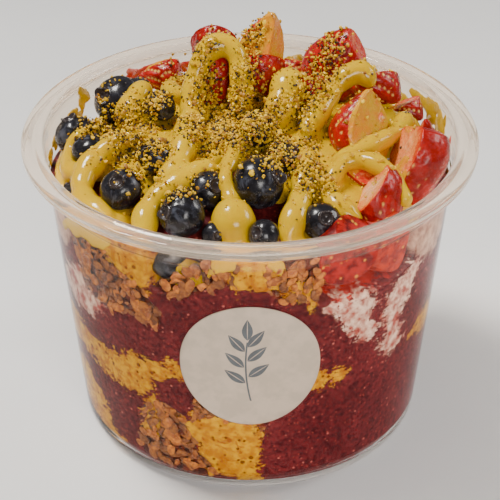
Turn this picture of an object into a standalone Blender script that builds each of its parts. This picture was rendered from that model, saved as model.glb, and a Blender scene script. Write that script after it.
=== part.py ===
# Acai bowl in a clear round tub: layered puree, granola, mango sauce and fruit.
#
# Lengths in this file are millimetres; put_object() scales them to metres.
# +Z is up, the origin is the centre of the tub's foot, and the front is -Y.
# Angles round the tub are degrees from the front, growing towards +X.

import math
import random

import bmesh
import bpy
from mathutils import Matrix, Vector

MM = 0.001

# Driving dimensions of the tub
TUB_HEIGHT = 81.5
RIM_RADIUS = 58.5
FOOT_RADIUS = 41.6
FOOT_WIDTH = 1.6
FOOT_RECESS = 1.6
FLOOR_Z = 2.2
FLOOR_RADIUS = 42.0
FLOOR_CORNER = (43.6, 3.4)
WALL_LOW = (44.6, 6.4)
WALL_LEDGE = (51.6, 72.1)
WALL_HIGH = (52.35, 78.6)
WALL_THICKNESS = 0.6
FLANGE_Z = 79.35
TUB_SEGMENTS = 40

# Fit of the food: clear of the wall and of its neighbours
WALL_GAP = 0.45
PIECE_GAP = 0.45
LAYER_GAP = 0.35
FOOD_SEGMENTS = 30
# A tool's face stays this far below the face that it follows, so that the two never coincide
HIDDEN_STEP = 0.02
# Faces that a Boolean splits are joined again where they turn by less than this, in degrees
FLAT_ANGLE = 1.5

# Round paper sticker on the front
STICKER_Z = 42.5
STICKER_WIDTH = 35.5
STICKER_HEIGHT = 38.0
STICKER_THICKNESS = 0.3
STICKER_GAP = 0.35

# Heights of the layers at the wall: (angle, height), joined smoothly
BAND_FLOOR = [(-180, 30), (-120, 29), (-75, 28), (-60, 28), (-50, 27), (-40, 26), (-30, 33),
              (-22, 35.5), (0, 33.5), (20, 33), (34, 35.7), (46, 36.0), (58, 35.5), (66, 33),
              (90, 31), (140, 30)]
BAND_TOP = [(-180, 37), (-120, 37), (-75, 38), (-60, 37), (-50, 36), (-40, 37.5), (-30, 39.5),
            (-22, 40), (0, 38), (20, 38), (30, 37.2), (46, 37.0), (58, 37.2), (66, 39),
            (90, 38), (140, 37)]
PUREE_TOP = [(-180, 58), (-120, 59), (-75, 57), (-55, 58), (-40, 60), (-30, 63), (-20, 61),
             (-15, 63), (-10, 65.5), (0, 66), (5, 64), (10, 60), (20, 58.5), (35, 60.5),
             (50, 59), (70, 60), (110, 60), (150, 58)]
GRANOLA_TOP = [(-180, 67.5), (-120, 68), (-80, 69.5), (-60, 70.5), (-45, 71.5), (-20, 73.5),
               (0, 73.5), (18, 73), (30, 71.5), (50, 70.5), (80, 69), (120, 67.5)]
SAUCE_TOP = [(-180, 69), (-120, 69.5), (-80, 71.5), (-60, 73), (-45, 74), (-20, 75),
             (0, 75), (18, 74.5), (30, 73), (50, 72), (80, 70.5), (120, 69)]
# Gap between the sauce and the wall: (angle, gap)
SAUCE_GAP = [(-180, 2.5), (-80, 1.5), (-54, 0), (-28, 0), (-15, 3), (-4, 0), (6, 0), (16, 3.3),
             (40, 5.5), (72, 5), (90, 2.5)]
BAND_CENTRE = (31.5, 37.5)
PUREE_CENTRE = 62
GRANOLA_CENTRE = 77
SAUCE_CENTRE = 85.5
# The sauce's facets don't follow the granola's, so its underside lies this much higher
SAUCE_LIFT = 0.3

# The mango band stays behind the puree here: start, middle, end of the stretch, and depth
BAND_HIDDEN = (36, 47, 58)
BAND_SETBACK = 4.5

# Patches against the wall: centre, outline of (angle, height) and depth into the food
POCKETS = {
    "granola_pocket": ((-28.5, 13), [(-24, 20.5), (-30, 22), (-36, 17), (-37, 9), (-33, 4.5),
                                     (-24, 4), (-18, 5.5), (-20, 12)], 10),
    "mango_pocket": ((-7, 16), [(-22, 23), (-12, 27.5), (0, 25), (5, 19), (4, 8), (-4, 4.2),
                                (-13, 4.8), (-17, 14)], 13),
    "mango_streak": ((-62, 13), [(-75, 21), (-66, 22), (-57, 16), (-49, 6.5), (-50, 3.8),
                                 (-62, 4.2), (-70, 10)], 9),
    "yogurt_right": ((43, 52), [(22, 58.5), (30, 61.5), (38, 58.5), (46, 59), (59, 60.5),
                                (57, 54), (52, 48), (51, 36), (45, 34.8), (43, 43.5), (37, 44),
                                (30, 50)], 14),
    "yogurt_left": ((-61, 49.5), [(-71, 50), (-66, 55), (-56, 56), (-50, 51), (-53, 45),
                                  (-64, 43)], 8),
}

# Granola that shows through the wall: rows from (angle, height) to (angle, height)
OAT_ROWS = [((-60, 62), (-25, 66.5), 6), ((-54, 67), (-32, 69), 4),
            ((-14, 68.5), (17, 66.5), 6), ((62, 64), (290, 64.5), 7)]
OAT_SIZE = (2.9, 2.2, 1.6)
GRANOLA_SHARE = 0.85
POCKET_OATS = [(-30, 18), (-24, 17.5), (-33, 13.5), (-27, 12.5), (-33, 8.5), (-27, 7.5),
               (-21.5, 8)]

# Blueberries: centre x, y, z, radius, and the way the crown looks
BLUEBERRIES = [
    ((-34.4, 16.1, 81.9), 6.7, (-0.7, -0.5, 0.5)),
    ((-45.4, 6.7, 76.9), 5.4, (-0.3, 0.2, 0.9)),
    ((-40.5, -6.0, 78.4), 5.1, (0.5, 0.6, 0.6)),
    ((-31.7, -26.0, 79.5), 5.4, (-0.2, -0.5, 0.8)),
    ((-23.3, -19.0, 84.6), 4.6, (0.6, 0.6, 0.5)),
    ((-16.3, -39.8, 80.8), 5.8, (-0.8, -0.5, 0.4)),
    ((-10.0, -29.7, 81.3), 5.2, (0.4, -0.6, 0.7)),
    ((2.2, -31.0, 84.4), 6.5, (0.8, -0.3, 0.5)),
    ((2.0, -13.0, 89.0), 4.5, (-0.2, 0.7, 0.7)),
    ((17.4, -39.2, 78.2), 4.8, (0.2, -0.7, 0.7)),
    ((3.3, -46.6, 79.0), 3.9, (-0.5, -0.6, 0.6)),
    ((-8.6, -43.8, 77.4), 3.1, (0.3, -0.8, 0.4)),
    ((-19.2, -40.8, 69.2), 5.4, (-0.2, 0.9, 0.3)),
    ((-43.8, -17.4, 72.6), 3.9, (-0.6, 0.5, 0.6)),
    ((-30.0, 26.5, 79.0), 4.2, (0.3, 0.8, 0.5)),
    ((-22.8, 4.0, 86.8), 4.0, (0.5, 0.5, 0.7)),
    ((8.6, -20.3, 85.0), 4.2, (0.6, 0.6, 0.5)),
]
BLUEBERRY_SEGMENTS = 9
# Body and crown: (radius, height) over the berry's radius, from foot to crown
BLUEBERRY_PROFILE = [(0.52, -0.80), (0.90, -0.44), (1.0, 0.02), (0.86, 0.50), (0.50, 0.80),
                     (0.36, 0.98), (0.24, 0.74)]
BLUEBERRY_FOOT = -0.93
BLUEBERRY_CROWN = 0.70

# Strawberry pieces: centre, length, radius, tip direction, cut faces (normal, place of the
# plane over the radius)
STRAWBERRIES = [
    ((-10.6, 25.0, 90.6), 14, 6.4, (-0.35, -0.4, -0.85), [((0.1, 0.9, 0.3), 0.1)]),
    ((2.8, 24.0, 94.8), 19, 8.4, (0.2, 0.15, 1.0),
     [((-0.5, -0.8, 0.35), 0.1), ((0.9, -0.45, 0.0), 0.15)]),
    ((3.4, 10.6, 91.0), 14, 6.4, (0.35, -0.5, -0.7), [((0.0, 0.8, 0.6), 0.25)]),
    ((-9.6, 9.0, 90.6), 15, 5.2, (0.0, -0.5, -0.85), [((0.0, 0.85, -0.5), 0.2)]),
    ((22.6, 27.0, 88.2), 20, 9.0, (0.35, -0.15, 0.9), [((0.86, -0.22, 0.46), 0.7)]),
    ((34.4, 13.4, 85.8), 14, 6.4, (0.65, -0.5, -0.4), [((-0.2, 0.65, 0.7), 0.3)]),
    ((26.4, -2.8, 85.6), 17, 9.0, (0.15, 0.35, 0.9), [((0.7, -0.55, 0.35), 0.1)]),
    ((42.4, 17.0, 78.0), 11, 4.8, (0.5, -0.5, -0.3), [((-0.4, 0.3, 0.85), 0.2)]),
    ((42.4, -15.6, 76.6), 24, 9.8, (-0.25, -0.5, -0.8), [((-0.9, -0.05, 0.43), 0.25)]),
    ((46.4, 3.4, 77.6), 13, 4.6, (0.1, -0.3, 0.9), [((-0.95, 0.1, 0.2), 0.2)]),
    ((32.8, -31.0, 77.0), 18, 7.2, (0.2, -0.65, -0.6), [((-0.77, 0.1, 0.62), 0.5)]),
    ((27.6, -19.6, 79.2), 9, 3.8, (-0.8, 0.1, 0.1), [((0.1, -0.45, 0.85), 0.2)]),
    ((20.3, -39.9, 70.0), 17, 7.4, (-0.5, 0.2, -0.8), [((0.45, -0.89, -0.11), 0.45)]),
    ((30.8, -32.5, 69.0), 16, 7.2, (0.35, 0.2, -0.9), [((0.69, -0.73, -0.11), 0.45)]),
    ((15.6, 4.0, 89.4), 12, 5.0, (0.3, -0.6, -0.7), [((-0.2, 0.8, 0.4), 0.3)]),
    ((12.7, 36.0, 79.6), 10, 4.2, (0.9, 0.1, 0.1), [((0.2, 0.7, 0.6), 0.2)]),
    ((-24.3, 36.0, 77.8), 12, 5.0, (-0.9, 0.1, -0.1), [((-0.3, 0.8, 0.5), 0.2)]),
]
STRAWBERRY_SEGMENTS = 11
# Whole fruit: (radius over the full radius, place from the stalk end to the tip)
STRAWBERRY_PROFILE = [(0.60, 0.0), (0.92, 0.12), (1.0, 0.32), (0.86, 0.55), (0.55, 0.78),
                      (0.25, 0.94)]
STRAWBERRY_TOOL_PROFILE = [(0.84, 0.0), (1.02, 0.25), (0.90, 0.6), (0.38, 0.94)]

# Mango sauce drizzled over the fruit: radius, then the points that each rope runs through
SAUCE_ROPES = [
    (2.3, [(-15.0, 0, 85.5), (-14.6, 5, 90.4), (-13.6, 8, 94.6), (-10.8, 11, 99), (-6.7, 12, 100.5),
           (-3.6, 10, 98.5), (-2.3, 7, 94.5), (-2.3, 3, 89), (-2.5, 0, 86)]),
    (4.6, [(10.0, 6, 92.5), (8.8, 2.5, 90.5), (7.0, -2, 87.0)]),
    (3.9, [(-28.0, 14, 86), (-29.8, 9.5, 84.8), (-31.5, 5, 82)]),
    (2.8, [(31.7, 7, 92.2), (29.3, 10, 94.7), (25.4, 9, 93.5), (22.1, 7, 90.8), (18.4, 1, 88),
           (14.4, -6, 85.5)]),
    (3.2, [(-29.0, -7, 83.5), (-35.5, -8.5, 81.5), (-40.5, -13.5, 78.5), (-42.0, -20, 76.5),
           (-40.0, -26.5, 75.5), (-35.0, -33, 75.5)]),
    (3.5, [(-15.0, -2, 87), (-15.8, -12, 86.5), (-17.5, -20, 84.5), (-20.4, -27, 81.5)]),
    (2.2, [(-2.8, -16, 86.5), (-4.9, -23, 85.5), (-6.0, -30, 84.5), (-4.8, -33.5, 82),
           (-3.4, -38, 80)]),
    (5.6, [(-4.2, -40.0, 80), (-3.6, -42.5, 77.5)]),
    (3.6, [(-10.8, -24, 84.5), (-16.0, -27.5, 82.5), (-21.5, -31, 80.5), (-25.0, -35, 78.5),
           (-25.4, -40, 76.5)]),
    (3.2, [(14.3, -20, 85), (13.0, -29, 82.5), (11.2, -37, 80), (9.2, -43, 77)]),
    (2.5, [(20.2, -24, 81.5), (23.5, -19.5, 83.5), (29.7, -20, 84), (35.0, -25, 82.5),
           (37.8, -30.5, 79.5)]),
    (3.0, [(18.6, -27.4, 81.5), (20.8, -33, 79.5), (25.0, -36.5, 77.5)]),
    (2.7, [(40.0, 5, 82.5), (38.5, 0, 82), (34.0, -7.5, 83.5), (28.0, -12.5, 83),
           (22.0, -17.5, 83)]),
    (2.4, [(-43.8, 1.2, 79.5), (-46.0, -1.5, 76.5), (-46.2, -8.5, 76), (-43.0, -14, 76.5)]),
]
SAUCE_SHARE = 0.72
ROPE_SEGMENTS = 6
ROPE_STEP = 5.0

# Colours (linear), roughness, metallic and alpha of each material
MATERIALS = {
    "clear_plastic": ((0.86, 0.80, 0.74), 0.12, 0.0, 0.22),
    "sticker_paper": ((0.52, 0.46, 0.40), 0.65, 0.0, 1.0),
    "acai_puree": ((0.075, 0.008, 0.014), 0.45, 0.0, 1.0),
    "mango_puree": ((0.74, 0.36, 0.012), 0.35, 0.0, 1.0),
    "mango_sauce": ((0.76, 0.48, 0.008), 0.18, 0.0, 1.0),
    "granola": ((0.42, 0.19, 0.055), 0.75, 0.0, 1.0),
    "yogurt": ((0.72, 0.60, 0.56), 0.40, 0.0, 1.0),
    "blueberry": ((0.012, 0.014, 0.030), 0.35, 0.0, 1.0),
    "strawberry": ((0.62, 0.012, 0.010), 0.25, 0.0, 1.0),
}


def clear_scene():
    for item in list(bpy.data.objects):
        bpy.data.objects.remove(item, do_unlink=True)


def material(name):
    found = bpy.data.materials.get(name)
    if found:
        return found
    colour, roughness, metallic, alpha = MATERIALS[name]
    made = bpy.data.materials.new(name)
    made.use_nodes = True
    shader = made.node_tree.nodes["Principled BSDF"]
    shader.inputs["Base Color"].default_value = (*colour, 1.0)
    shader.inputs["Roughness"].default_value = roughness
    shader.inputs["Metallic"].default_value = metallic
    shader.inputs["Alpha"].default_value = alpha
    made.diffuse_color = (*colour, alpha)
    return made


def on_wall(angle, radius, height):
    """Point at an angle from the front, in degrees."""
    turn = math.radians(angle)
    return Vector((radius * math.sin(turn), -radius * math.cos(turn), height))


def inner_radius(height):
    """Radius of the tub's inside at a height."""
    line = [(FLOOR_RADIUS, FLOOR_Z), FLOOR_CORNER, WALL_LOW, WALL_LEDGE, WALL_HIGH]
    for low, high in zip(line, line[1:]):
        if height <= high[1]:
            break
    share = (height - low[1]) / (high[1] - low[1])
    return low[0] + share * (high[0] - low[0])


def food_radius(height):
    return inner_radius(height) - WALL_GAP


def smooth_step(share):
    share = min(max(share, 0.0), 1.0)
    return share * share * (3.0 - 2.0 * share)


def height_at(table, angle):
    """Smoothly joined (angle, height) pairs that run once round the tub."""
    angle = (angle + 180.0) % 360.0 - 180.0
    points = table + [(table[0][0] + 360, table[0][1])]
    for (low, start), (high, end) in zip(points, points[1:]):
        if low <= angle <= high:
            return start + (end - start) * smooth_step((angle - low) / (high - low))
    return points[-1][1]


def dome_height(table, centre, x, y):
    """Height of a layer's face: the table at the wall, the centre height in the middle."""
    angle = math.degrees(math.atan2(x, -y))
    share = min((x * x + y * y) / WALL_LEDGE[0] ** 2, 1.0)
    return centre + (height_at(table, angle) - centre) * share


def put_object(name, work, slot):
    """Scale a bmesh to metres and link it as a named object."""
    bmesh.ops.recalc_face_normals(work, faces=work.faces)
    bmesh.ops.scale(work, vec=(MM, MM, MM), verts=work.verts)
    mesh = bpy.data.meshes.new(name)
    work.to_mesh(mesh)
    work.free()
    mesh.materials.append(material(slot))
    made = bpy.data.objects.new(name, mesh)
    bpy.context.collection.objects.link(made)
    return made


def closed_rings(first, rings, last):
    """Closed bmesh from a first point, rings of equal length and a last point."""
    work = bmesh.new()
    start = work.verts.new(first)
    loops = [[work.verts.new(point) for point in ring] for ring in rings]
    end = work.verts.new(last)
    count = len(loops[0])
    for index in range(count):
        following = (index + 1) % count
        work.faces.new((start, loops[0][following], loops[0][index]))
        for lower, upper in zip(loops, loops[1:]):
            work.faces.new((lower[index], lower[following], upper[following], upper[index]))
        work.faces.new((loops[-1][index], loops[-1][following], end))
    return work


def turned(profile, segments):
    """Rings of points from (radius, height) pairs."""
    steps = [360.0 * index / segments for index in range(segments)]
    return [[on_wall(angle, radius, height) for angle in steps] for radius, height in profile]


def apply_modifiers(target):
    depsgraph = bpy.context.evaluated_depsgraph_get()
    mesh = bpy.data.meshes.new_from_object(target.evaluated_get(depsgraph))
    target.modifiers.clear()
    target.data = mesh


def simplify(target, share):
    """Collapse the least telling edges until this share of the triangles is left."""
    step = target.modifiers.new("simplify", "DECIMATE")
    step.ratio = share
    step.use_collapse_triangulate = True
    apply_modifiers(target)


def solve(target, operation, tools, solver="EXACT"):
    """Apply one Boolean of the tools' collection to the target, and remove the tools."""
    if not tools:
        return
    group = bpy.data.collections.new("boolean_tools")
    bpy.context.scene.collection.children.link(group)
    for tool in tools:
        bpy.context.collection.objects.unlink(tool)
        group.objects.link(tool)
    step = target.modifiers.new("boolean", "BOOLEAN")
    step.operation = operation
    step.operand_type = "COLLECTION"
    step.collection = group
    step.solver = solver
    if solver == "EXACT":
        step.use_self = True
    apply_modifiers(target)
    for tool in tools:
        bpy.data.objects.remove(tool, do_unlink=True)
    bpy.data.collections.remove(group)


def keep_main_body(target):
    """Drop loose scraps and sealed hollows that a Boolean leaves."""
    work = bmesh.new()
    work.from_mesh(target.data)
    bmesh.ops.dissolve_limit(work, angle_limit=math.radians(FLAT_ANGLE), verts=work.verts,
                             edges=work.edges)
    bmesh.ops.triangulate(work, faces=work.faces)
    left = set(work.faces)
    bodies = []
    while left:
        body = []
        stack = [left.pop()]
        while stack:
            face = stack.pop()
            body.append(face)
            for edge in face.edges:
                for other in edge.link_faces:
                    if other in left:
                        left.remove(other)
                        stack.append(other)
        bodies.append(body)
    bodies.sort(key=lambda body: -sum(face.calc_area() for face in body))
    scraps = [face for body in bodies[1:] for face in body]
    bmesh.ops.delete(work, geom=scraps, context="FACES")
    loose = [vert for vert in work.verts if not vert.link_faces]
    bmesh.ops.delete(work, geom=loose, context="VERTS")
    bmesh.ops.recalc_face_normals(work, faces=work.faces)
    work.to_mesh(target.data)
    work.free()


def extent(target):
    """Lowest and highest corner of an object's mesh."""
    spots = [vert.co for vert in target.data.vertices]
    low = [min(spot[axis] for spot in spots) for axis in range(3)]
    high = [max(spot[axis] for spot in spots) for axis in range(3)]
    return low, high


def carve(target, makers, solver="EXACT"):
    """Cut the target clear of every neighbour whose grown copy comes near it."""
    low, high = extent(target)
    tools = []
    for maker in makers:
        tool = maker()
        tool_low, tool_high = extent(tool)
        if all(tool_low[axis] < high[axis] and tool_high[axis] > low[axis] for axis in range(3)):
            tools.append(tool)
        else:
            bpy.data.objects.remove(tool, do_unlink=True)
    if tools:
        solve(target, "DIFFERENCE", tools, solver)
        keep_main_body(target)


# Tub and sticker

def make_tub():
    wall = WALL_THICKNESS
    outside = [
        (FOOT_RADIUS - FOOT_WIDTH - 1.5, FOOT_RECESS),
        (FOOT_RADIUS - FOOT_WIDTH, 0.0),
        (FOOT_RADIUS, 0.0),
        (43.7, 1.2),
        (44.9, 3.4),
        (WALL_LOW[0] + wall, WALL_LOW[1]),
        (WALL_LEDGE[0] + wall, WALL_LEDGE[1]),
        (WALL_LEDGE[0] + wall + 0.4, WALL_LEDGE[1] + 0.5),
        (WALL_HIGH[0] + wall, WALL_HIGH[1]),
    ]
    flange = [
        (WALL_HIGH[0] + wall + 0.6, FLANGE_Z),
        (RIM_RADIUS - 1.0, FLANGE_Z),
        (RIM_RADIUS - 1.0, FLANGE_Z - 0.6),
        (RIM_RADIUS - 0.3, FLANGE_Z - 0.6),
        (RIM_RADIUS, FLANGE_Z + 0.2),
        (RIM_RADIUS, TUB_HEIGHT - 0.8),
        (RIM_RADIUS - 0.5, TUB_HEIGHT - 0.15),
        (RIM_RADIUS - 1.3, TUB_HEIGHT),
        (RIM_RADIUS - 2.8, TUB_HEIGHT - 0.6),
        (RIM_RADIUS - 3.3, TUB_HEIGHT - 0.6),
        (RIM_RADIUS - 4.2, TUB_HEIGHT - 0.1),
        (RIM_RADIUS - 5.4, TUB_HEIGHT - 0.5),
    ]
    inside = [
        (WALL_HIGH[0], WALL_HIGH[1]),
        (WALL_LEDGE[0] + 0.4, WALL_LEDGE[1] + 0.5),
        WALL_LEDGE,
        WALL_LOW,
        FLOOR_CORNER,
        (FLOOR_RADIUS, FLOOR_Z),
    ]
    rings = turned(outside + flange + inside, TUB_SEGMENTS)
    work = closed_rings((0, 0, FOOT_RECESS), rings, (0, 0, FLOOR_Z))
    tub = put_object("tub", work, "clear_plastic")
    tub.data.shade_smooth()
    tub.data.set_sharp_from_angle(angle=math.radians(35))


def make_sticker():
    segments = 28
    shares = (0.5, 1.0)

    def face(depth, share):
        ring = []
        for index in range(segments):
            turn = math.tau * index / segments
            height = STICKER_Z + share * STICKER_HEIGHT / 2 * math.cos(turn)
            radius = inner_radius(height) + WALL_THICKNESS + STICKER_GAP + depth
            arc = share * STICKER_WIDTH / 2 * math.sin(turn)
            ring.append(on_wall(math.degrees(arc / radius), radius, height))
        return ring

    back = [face(0.0, share) for share in shares]
    front = [face(STICKER_THICKNESS, share) for share in reversed(shares)]
    radius = inner_radius(STICKER_Z) + WALL_THICKNESS + STICKER_GAP
    first = on_wall(0, radius, STICKER_Z)
    last = on_wall(0, radius + STICKER_THICKNESS, STICKER_Z)
    put_object("sticker", closed_rings(first, back + front, last), "sticker_paper")


# Fruit

def standing(direction, sideways):
    """Rotation whose Z follows the direction and whose X leans to the sideways vector."""
    up = Vector(direction).normalized()
    side = Vector(sideways)
    side = (side - up * side.dot(up)).normalized()
    across = up.cross(side)
    return Matrix((side, across, up)).transposed().to_4x4()


def make_blueberry(name, centre, radius, crown):
    profile = [(out * radius, up * radius) for out, up in BLUEBERRY_PROFILE]
    rings = turned(profile, BLUEBERRY_SEGMENTS)
    work = closed_rings((0, 0, BLUEBERRY_FOOT * radius), rings, (0, 0, BLUEBERRY_CROWN * radius))
    turn = standing(crown, (0.3, 0.2, 1.0))
    bmesh.ops.transform(work, matrix=Matrix.Translation(centre) @ turn, verts=work.verts)
    berry = put_object(name, work, "blueberry")
    berry.data.shade_smooth()


def blueberry_tool(centre, radius):
    work = bmesh.new()
    facet_share = 1.08
    size = (radius + PIECE_GAP) * facet_share
    bmesh.ops.create_icosphere(work, subdivisions=2, radius=size)
    bmesh.ops.translate(work, vec=centre, verts=work.verts)
    return put_object("tool", work, "blueberry")


def strawberry_mesh(centre, length, radius, tip, cuts, segments, grow, outline):
    """Piece of a strawberry: the whole fruit, sliced by planes, its middle on the centre."""
    size = radius + grow
    profile = [(out * size, (place - 0.5) * length) for out, place in outline]
    rings = turned(profile, segments)
    end = length / 2 + grow
    work = closed_rings((0, 0, -end), rings, (0, 0, end))
    turn = standing(tip, cuts[0][0])
    bmesh.ops.transform(work, matrix=turn, verts=work.verts)
    for normal, place in cuts:
        flat = Vector(normal).normalized()
        geometry = work.verts[:] + work.edges[:] + work.faces[:]
        bmesh.ops.bisect_plane(work, geom=geometry, plane_co=flat * (place * radius + grow),
                               plane_no=flat, clear_outer=True)
        rim = [edge for edge in work.edges if edge.is_boundary]
        bmesh.ops.holes_fill(work, edges=rim)
    middle = Vector()
    for normal, place in cuts:
        middle += Vector(normal).normalized() * (place - 1.0) * radius / 2
    bmesh.ops.translate(work, vec=Vector(centre) - middle, verts=work.verts)
    return work


def make_strawberry(name, spec):
    work = strawberry_mesh(*spec, STRAWBERRY_SEGMENTS, 0.0, STRAWBERRY_PROFILE)
    piece = put_object(name, work, "strawberry")
    piece.data.shade_smooth()
    piece.data.set_sharp_from_angle(angle=math.radians(40))
    return piece


def strawberry_tool(spec):
    coarse = 8
    facet_room = 0.35
    work = strawberry_mesh(*spec, coarse, PIECE_GAP + facet_room, STRAWBERRY_TOOL_PROFILE)
    return put_object("tool", work, "strawberry")


def make_fruit():
    """All berries and pieces; the pieces nest against what was placed before them."""
    tools = []
    for index, (centre, radius, crown) in enumerate(BLUEBERRIES):
        make_blueberry(f"blueberry_{index + 1:02d}", centre, radius, crown)
        tools.append(lambda at=centre, size=radius: blueberry_tool(at, size))
    for index, spec in enumerate(STRAWBERRIES):
        piece = make_strawberry(f"strawberry_{index + 1:02d}", spec)
        carve(piece, tools)
        tools.append(lambda given=spec: strawberry_tool(given))
    return tools


# Patches against the wall

def outline_reach(centre, outline, turn):
    """Distance from a patch's centre to its outline, in millimetres along the wall."""
    scale = math.radians(1.0) * food_radius(centre[1])
    flat = [((angle - centre[0]) * scale, height - centre[1]) for angle, height in outline]
    dx, dz = math.cos(turn), math.sin(turn)
    best = 0.0
    for (ax, az), (bx, bz) in zip(flat, flat[1:] + flat[:1]):
        ex, ez = bx - ax, bz - az
        det = ex * dz - ez * dx
        if abs(det) < 1e-9:
            continue
        reach = (ex * az - ez * ax) / det
        share = (dx * az - dz * ax) / det
        if reach > 0 and -1e-6 <= share <= 1 + 1e-6:
            best = max(best, reach)
    return best


def pocket_mesh(centre, outline, depth, grow, outward, setback=0.0, edge_depth=0.0):
    """Lens against the wall, deepest in the middle."""
    segments = 20
    shares = (0.55, 1.0)
    scale = math.radians(1.0) * food_radius(centre[1])
    turns = [math.tau * index / segments for index in range(segments)]
    reaches = [outline_reach(centre, outline, turn) + grow for turn in turns]

    def face(share, outer):
        ring = []
        depth_share = math.sqrt(1.0 - share * share)
        for turn, reach in zip(turns, reaches):
            angle = centre[0] + share * reach * math.cos(turn) / scale
            height = centre[1] + share * reach * math.sin(turn)
            inward = edge_depth + depth_share * (depth + grow - edge_depth)
            radius = food_radius(height) - setback + (outward if outer else -inward)
            ring.append(on_wall(angle, radius, height))
        return ring

    back = [face(share, False) for share in shares]
    front = [face(share, True) for share in reversed(shares)]
    if outward + edge_depth == 0.0:
        front = front[1:]
    radius = food_radius(centre[1]) - setback
    first = on_wall(centre[0], radius - depth - grow, centre[1])
    last = on_wall(centre[0], radius + outward, centre[1])
    return closed_rings(first, back + front, last)


def oat(place, lean, generator):
    """One coarse oat cluster just inside the wall."""
    angle, height = place
    work = bmesh.new()
    bmesh.ops.create_icosphere(work, subdivisions=1, radius=1.0)
    long_half, tall_half, deep_half = (half * generator.uniform(0.85, 1.15) for half in OAT_SIZE)
    bmesh.ops.scale(work, vec=(long_half, deep_half, tall_half), verts=work.verts)
    spin = Matrix.Rotation(math.radians(lean), 4, "Y")
    face_out = Matrix.Rotation(math.radians(angle), 4, "Z")
    seat = on_wall(angle, food_radius(height) - 0.1 - deep_half * 1.12, height)
    place_at = Matrix.Translation(seat) @ face_out @ spin
    bmesh.ops.transform(work, matrix=place_at, verts=work.verts)
    return put_object("oat", work, "granola")


def make_pockets():
    generator = random.Random(7)
    tools = []
    for name, (centre, outline, depth) in POCKETS.items():
        slot = {"g": "granola", "m": "mango_puree", "y": "yogurt"}[name[0]]
        setback = 1.6 if slot == "granola" else 0.0
        work = pocket_mesh(centre, outline, depth, 0.0, 0.0, setback)
        patch = put_object(name, work, slot)
        if slot == "granola":
            oats = [oat(place, generator.uniform(-60, 60), generator) for place in POCKET_OATS]
            solve(patch, "UNION", oats)
            keep_main_body(patch)
        carve(patch, tools)
        grow = PIECE_GAP + (OAT_SIZE[0] if slot == "granola" else 0.0)
        edge = 2.6 * OAT_SIZE[2] if slot == "granola" else 0.0
        tools.append(lambda given=(centre, outline, depth, grow, 2.0, 0.0, edge): put_object(
            "tool", pocket_mesh(*given), "yogurt"))
    return tools


# Layers

def layer_ring(share, height_of, angles, setback_of=None):
    ring = []
    for angle in angles:
        probe = on_wall(angle, WALL_LEDGE[0] * share, 0.0)
        radius = share * food_radius(height_of(probe.x, probe.y))
        if setback_of:
            radius -= share * setback_of(angle)
        spot = on_wall(angle, radius, 0.0)
        ring.append(Vector((spot.x, spot.y, height_of(spot.x, spot.y))))
    return ring


def layer_mesh(lower, upper, foot_rings=(), setback_of=None, shares=(0.4, 0.75, 1.0)):
    """Solid between two faces z(x, y) that fills the tub out to the wall."""
    angles = [360.0 * index / FOOD_SEGMENTS for index in range(FOOD_SEGMENTS)]
    rings = list(foot_rings)
    if not rings:
        rings += [layer_ring(share, lower, angles, setback_of) for share in shares]
    rings += [layer_ring(share, upper, angles, setback_of) for share in reversed(shares)]
    floor = foot_rings[0][0].z if foot_rings else lower(0.0, 0.0)
    return closed_rings((0, 0, floor), rings, (0, 0, upper(0.0, 0.0)))


def hidden_share(angle):
    start, middle, end = BAND_HIDDEN
    if not start < angle < end:
        return 0.0
    if angle < middle:
        return smooth_step((angle - start) / (middle - start))
    return smooth_step((end - angle) / (end - middle))


def make_layers(tools):
    def band_floor(x, y):
        return dome_height(BAND_FLOOR, BAND_CENTRE[0], x, y)

    def band_top(x, y):
        return dome_height(BAND_TOP, BAND_CENTRE[1], x, y)

    def puree_top(x, y):
        return dome_height(PUREE_TOP, PUREE_CENTRE, x, y)

    def raised(height_of, by):
        return lambda x, y: height_of(x, y) + by

    base = FLOOR_Z + LAYER_GAP
    corner = (food_radius(FLOOR_CORNER[1]) - 0.2, FLOOR_CORNER[1] + 0.4)
    foot = turned([(FLOOR_RADIUS / 2, base), (FLOOR_RADIUS - 0.8, base), corner,
                   (food_radius(WALL_LOW[1]), WALL_LOW[1])], FOOD_SEGMENTS)
    lower = put_object("acai_lower", layer_mesh(None, band_floor, foot), "acai_puree")
    band = put_object("mango_band", layer_mesh(
        raised(band_floor, LAYER_GAP), raised(band_top, -LAYER_GAP),
        setback_of=lambda angle: BAND_SETBACK * hidden_share(angle)), "mango_puree")
    upper = put_object("acai_upper", layer_mesh(band_top, puree_top), "acai_puree")
    for layer in (lower, band, upper):
        carve(layer, tools)


def granola_top(x, y):
    return dome_height(GRANOLA_TOP, GRANOLA_CENTRE, x, y)


def make_granola(tools):
    """Granola bed: a core set back from the wall, with the clusters that show fused on."""
    setback = 1.8
    generator = random.Random(11)

    def bottom(x, y):
        return dome_height(PUREE_TOP, PUREE_CENTRE, x, y) + LAYER_GAP

    work = layer_mesh(bottom, granola_top, setback_of=lambda angle: setback)
    bed = put_object("granola_bed", work, "granola")
    oats = []
    for start, end, count in OAT_ROWS:
        for index in range(count):
            share = index / (count - 1)
            angle = start[0] + share * (end[0] - start[0])
            height = start[1] + share * (end[1] - start[1])
            height += generator.uniform(-0.6, 0.6)
            oats.append(oat((angle, height), generator.uniform(-70, 70), generator))
    solve(bed, "UNION", oats)
    keep_main_body(bed)
    puree = lambda: put_object("tool", layer_mesh(
        lambda x, y: 50.0, lambda x, y: bottom(x, y) - HIDDEN_STEP), "acai_puree")
    carve(bed, tools + [puree])
    simplify(bed, GRANOLA_SHARE)


# Sauce

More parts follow.
